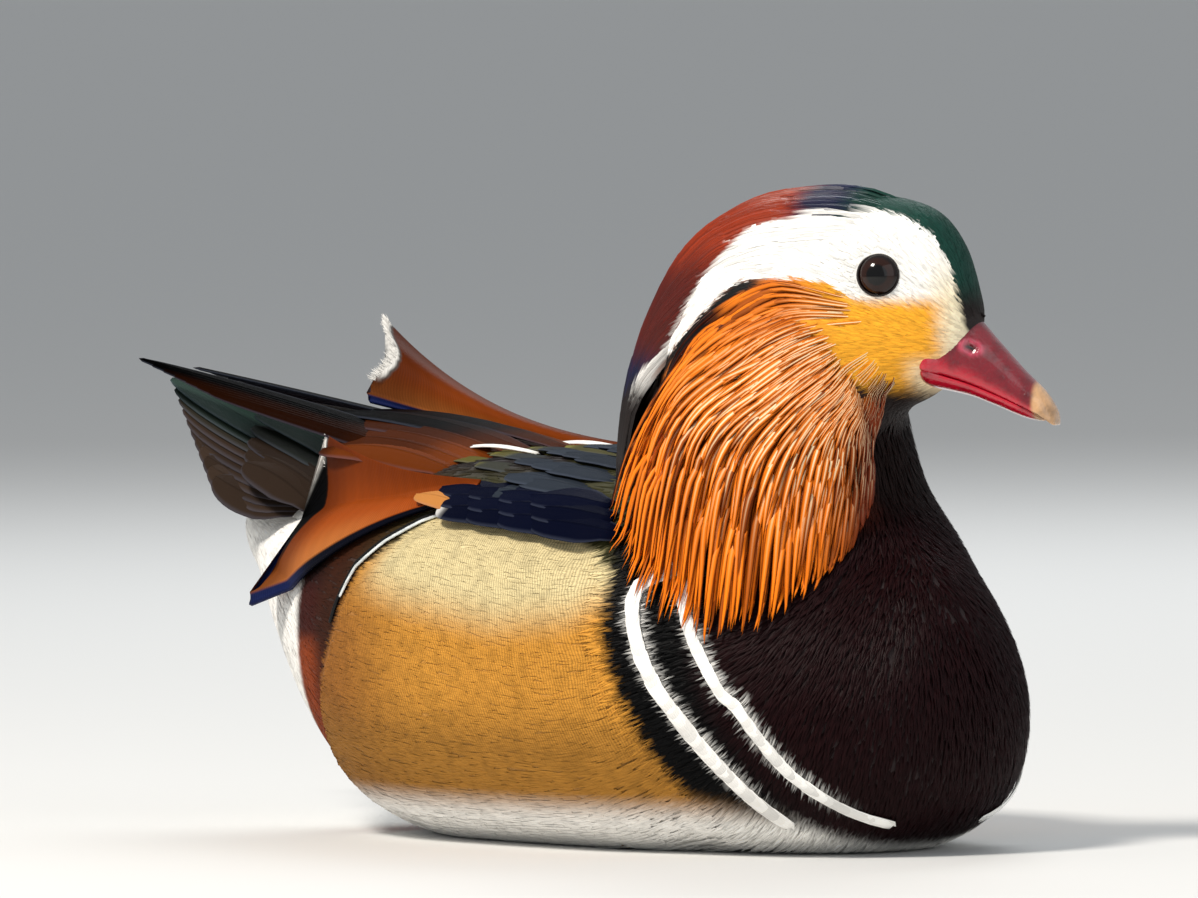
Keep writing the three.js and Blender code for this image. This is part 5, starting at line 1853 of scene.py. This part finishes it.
def shank_grid(side):
    """Rings of the shank, a long round form that is slightly ringed by its scutes."""
    turn = np.linspace(0, 2 * np.pi, 24, endpoint=False)[None]
    along = np.linspace(POLE, np.pi - POLE, 70)[:, None]
    x = ANKLE[0] - SHANK_BACK + SHANK_LENGTH / 2 * np.cos(along)
    radius = SHANK_RADIUS * np.sin(along) ** 0.3 * (1 - 0.05 * np.abs(np.sin(x * 1.6)))
    z = np.maximum(shank_middle(x) + radius * np.cos(turn), FLOOR_GAP)
    return np.stack(np.broadcast_arrays(x, side * ANKLE[1] + radius * np.sin(turn), z), -1)


class DuckFeet(bpy.types.Operator):
    """Webbed feet tucked under the belly, with scaly toes and shanks"""

    bl_idname = "duck.feet"
    bl_label = "Feet"

    def execute(self, context):
        material = foot_finish()
        for name, side in SIDES:
            rings, tone = web_grid(side)
            points, faces = closed_grid(rings)
            more, extra = closed_grid(shank_grid(side))
            faces += [block + len(points) for block in extra]
            obj = fill_mesh("foot_" + name, np.concatenate([points, more]), faces,
                            np.concatenate([tone, colour("C07A30") + 0 * more]))
            finish(obj, material, "foot_skin", "foot_" + name)
        return {"FINISHED"}


# The photo's view of the duck
VIEW_AZIMUTH, VIEW_ELEVATION, VIEW_ROLL = 50.0, 2.0, 0.75
FRAME_WIDTH = 285.1  # millimetres across the picture at the duck
FRAME_MIDDLE = (-12.85, 92.65)  # millimetres to the right of the body's middle and up
LENS, SENSOR = 400.0, 36.0
FLOOR_REACH = 900.0  # metres from the middle to each edge
CLIP_END = 5000.0  # metres, past the floor's corners
SKY, SKY_STRENGTH = (0.92, 0.96, 1.0, 1.0), 0.42
WARM, COOL = (1.0, 0.94, 0.86), (0.95, 0.98, 1.0)
# Lamps: name, place and size in metres, power in watts, colour
LAMPS = (
    ("key", (0.1, -1.2, 1.6), 0.4, 36, WARM),
    ("fill", (1.6, 0.2, 0.8), 1.6, 6, COOL),
    ("rim", (-1.0, 1.2, 1.4), 0.9, 14, COOL),
)
LAMPS_AIM = Vector((0, 0, 0.08))


def add_floor():
    """A plain square so wide that the camera never sees its edges."""
    corners = np.array([[-1, -1, 0], [1, -1, 0], [1, 1, 0], [-1, 1, 0]]) * FLOOR_REACH / MM - SHIFT
    floor = fill_mesh("floor", corners, [np.array([[0, 1, 2, 3]])])
    paper = Graph("floor_paper").set(Base_Color=(0.72, 0.72, 0.71), Roughness=0.9, Specular_IOR_Level=0.1)
    floor.data.materials.append(paper)


def add_camera(scene):
    """Looks at the frame's middle from so far off that the picture is FRAME_WIDTH wide there."""
    turn, tilt = math.radians(VIEW_AZIMUTH), math.radians(VIEW_ELEVATION)
    back = Vector((math.sin(turn) * math.cos(tilt), -math.cos(turn) * math.cos(tilt), math.sin(tilt)))
    right = Vector((math.cos(turn), math.sin(turn), 0))
    across, up = FRAME_MIDDLE
    target = (right * across + Vector((0, 0, up)) + Vector(SHIFT)) * MM
    camera = bpy.data.cameras.new("camera")
    camera.lens, camera.sensor_width = LENS, SENSOR
    camera.clip_end = CLIP_END
    view = bpy.data.objects.new("camera", camera)
    distance = FRAME_WIDTH * MM * LENS / SENSOR
    face = back.to_track_quat("Z", "Y").to_matrix().to_4x4()
    roll = Matrix.Rotation(-math.radians(VIEW_ROLL), 4, "Z")
    view.matrix_world = Matrix.Translation(target + back * distance) @ face @ roll
    scene.collection.objects.link(view)
    scene.camera = view


def add_light(scene):
    """A dim sky and the lamps, each turned to the duck."""
    world = bpy.data.worlds.new("studio")
    world.use_nodes = True
    sky = world.node_tree.nodes["Background"]
    sky.inputs["Color"].default_value = SKY
    sky.inputs["Strength"].default_value = SKY_STRENGTH
    scene.world = world
    for name, place, size, watts, tone in LAMPS:
        lamp = bpy.data.lights.new(name, "AREA")
        lamp.energy, lamp.size, lamp.color = watts, size, tone
        holder = bpy.data.objects.new(name, lamp)
        holder.location = place
        holder.rotation_euler = (Vector(place) - LAMPS_AIM).to_track_quat("Z", "Y").to_euler()
        scene.collection.objects.link(holder)


class DuckStage(bpy.types.Operator):
    """Pale floor, soft studio light and the camera"""

    bl_idname = "duck.stage"
    bl_label = "Stage"

    def execute(self, context):
        add_floor()
        add_camera(context.scene)
        add_light(context.scene)
        context.scene.view_settings.view_transform = "Standard"
        return {"FINISHED"}


class DuckPanel(bpy.types.Panel):
    """The duck's pieces, sizes and colours in the sidebar of the 3D view"""

    bl_idname = "VIEW3D_PT_duck"
    bl_label = "Mandarin Duck"
    bl_space_type = "VIEW_3D"
    bl_region_type = "UI"
    bl_category = "Duck"

    def draw(self, context):
        for step in STEPS:
            self.layout.operator(step.bl_idname)
        for group in (context.scene.duck_sizes, context.scene.duck_colours):
            for name in type(group).__annotations__:
                self.layout.prop(group, name)


STEPS = (
    DuckSkin, DuckHeadCoat, DuckBreastCoat, DuckBodyCoat, DuckStripes, DuckRuff, DuckCrest, DuckWings,
    DuckSails, DuckTail, DuckBill, DuckEyes, DuckFeet, DuckStage,
)
CLASSES = (DuckSizes, DuckColours, *STEPS, DuckPanel)


def register():
    for entry in CLASSES:
        bpy.utils.register_class(entry)
    bpy.types.Scene.duck_sizes = bpy.props.PointerProperty(type=DuckSizes)
    bpy.types.Scene.duck_colours = bpy.props.PointerProperty(type=DuckColours)


def unregister():
    del bpy.types.Scene.duck_sizes, bpy.types.Scene.duck_colours
    for entry in reversed(CLASSES):
        bpy.utils.unregister_class(entry)


def main():
    register()
    for step in STEPS:
        group, call = step.bl_idname.split(".")
        getattr(getattr(bpy.ops, group), call)()


if __name__ == "__main__":
    main()
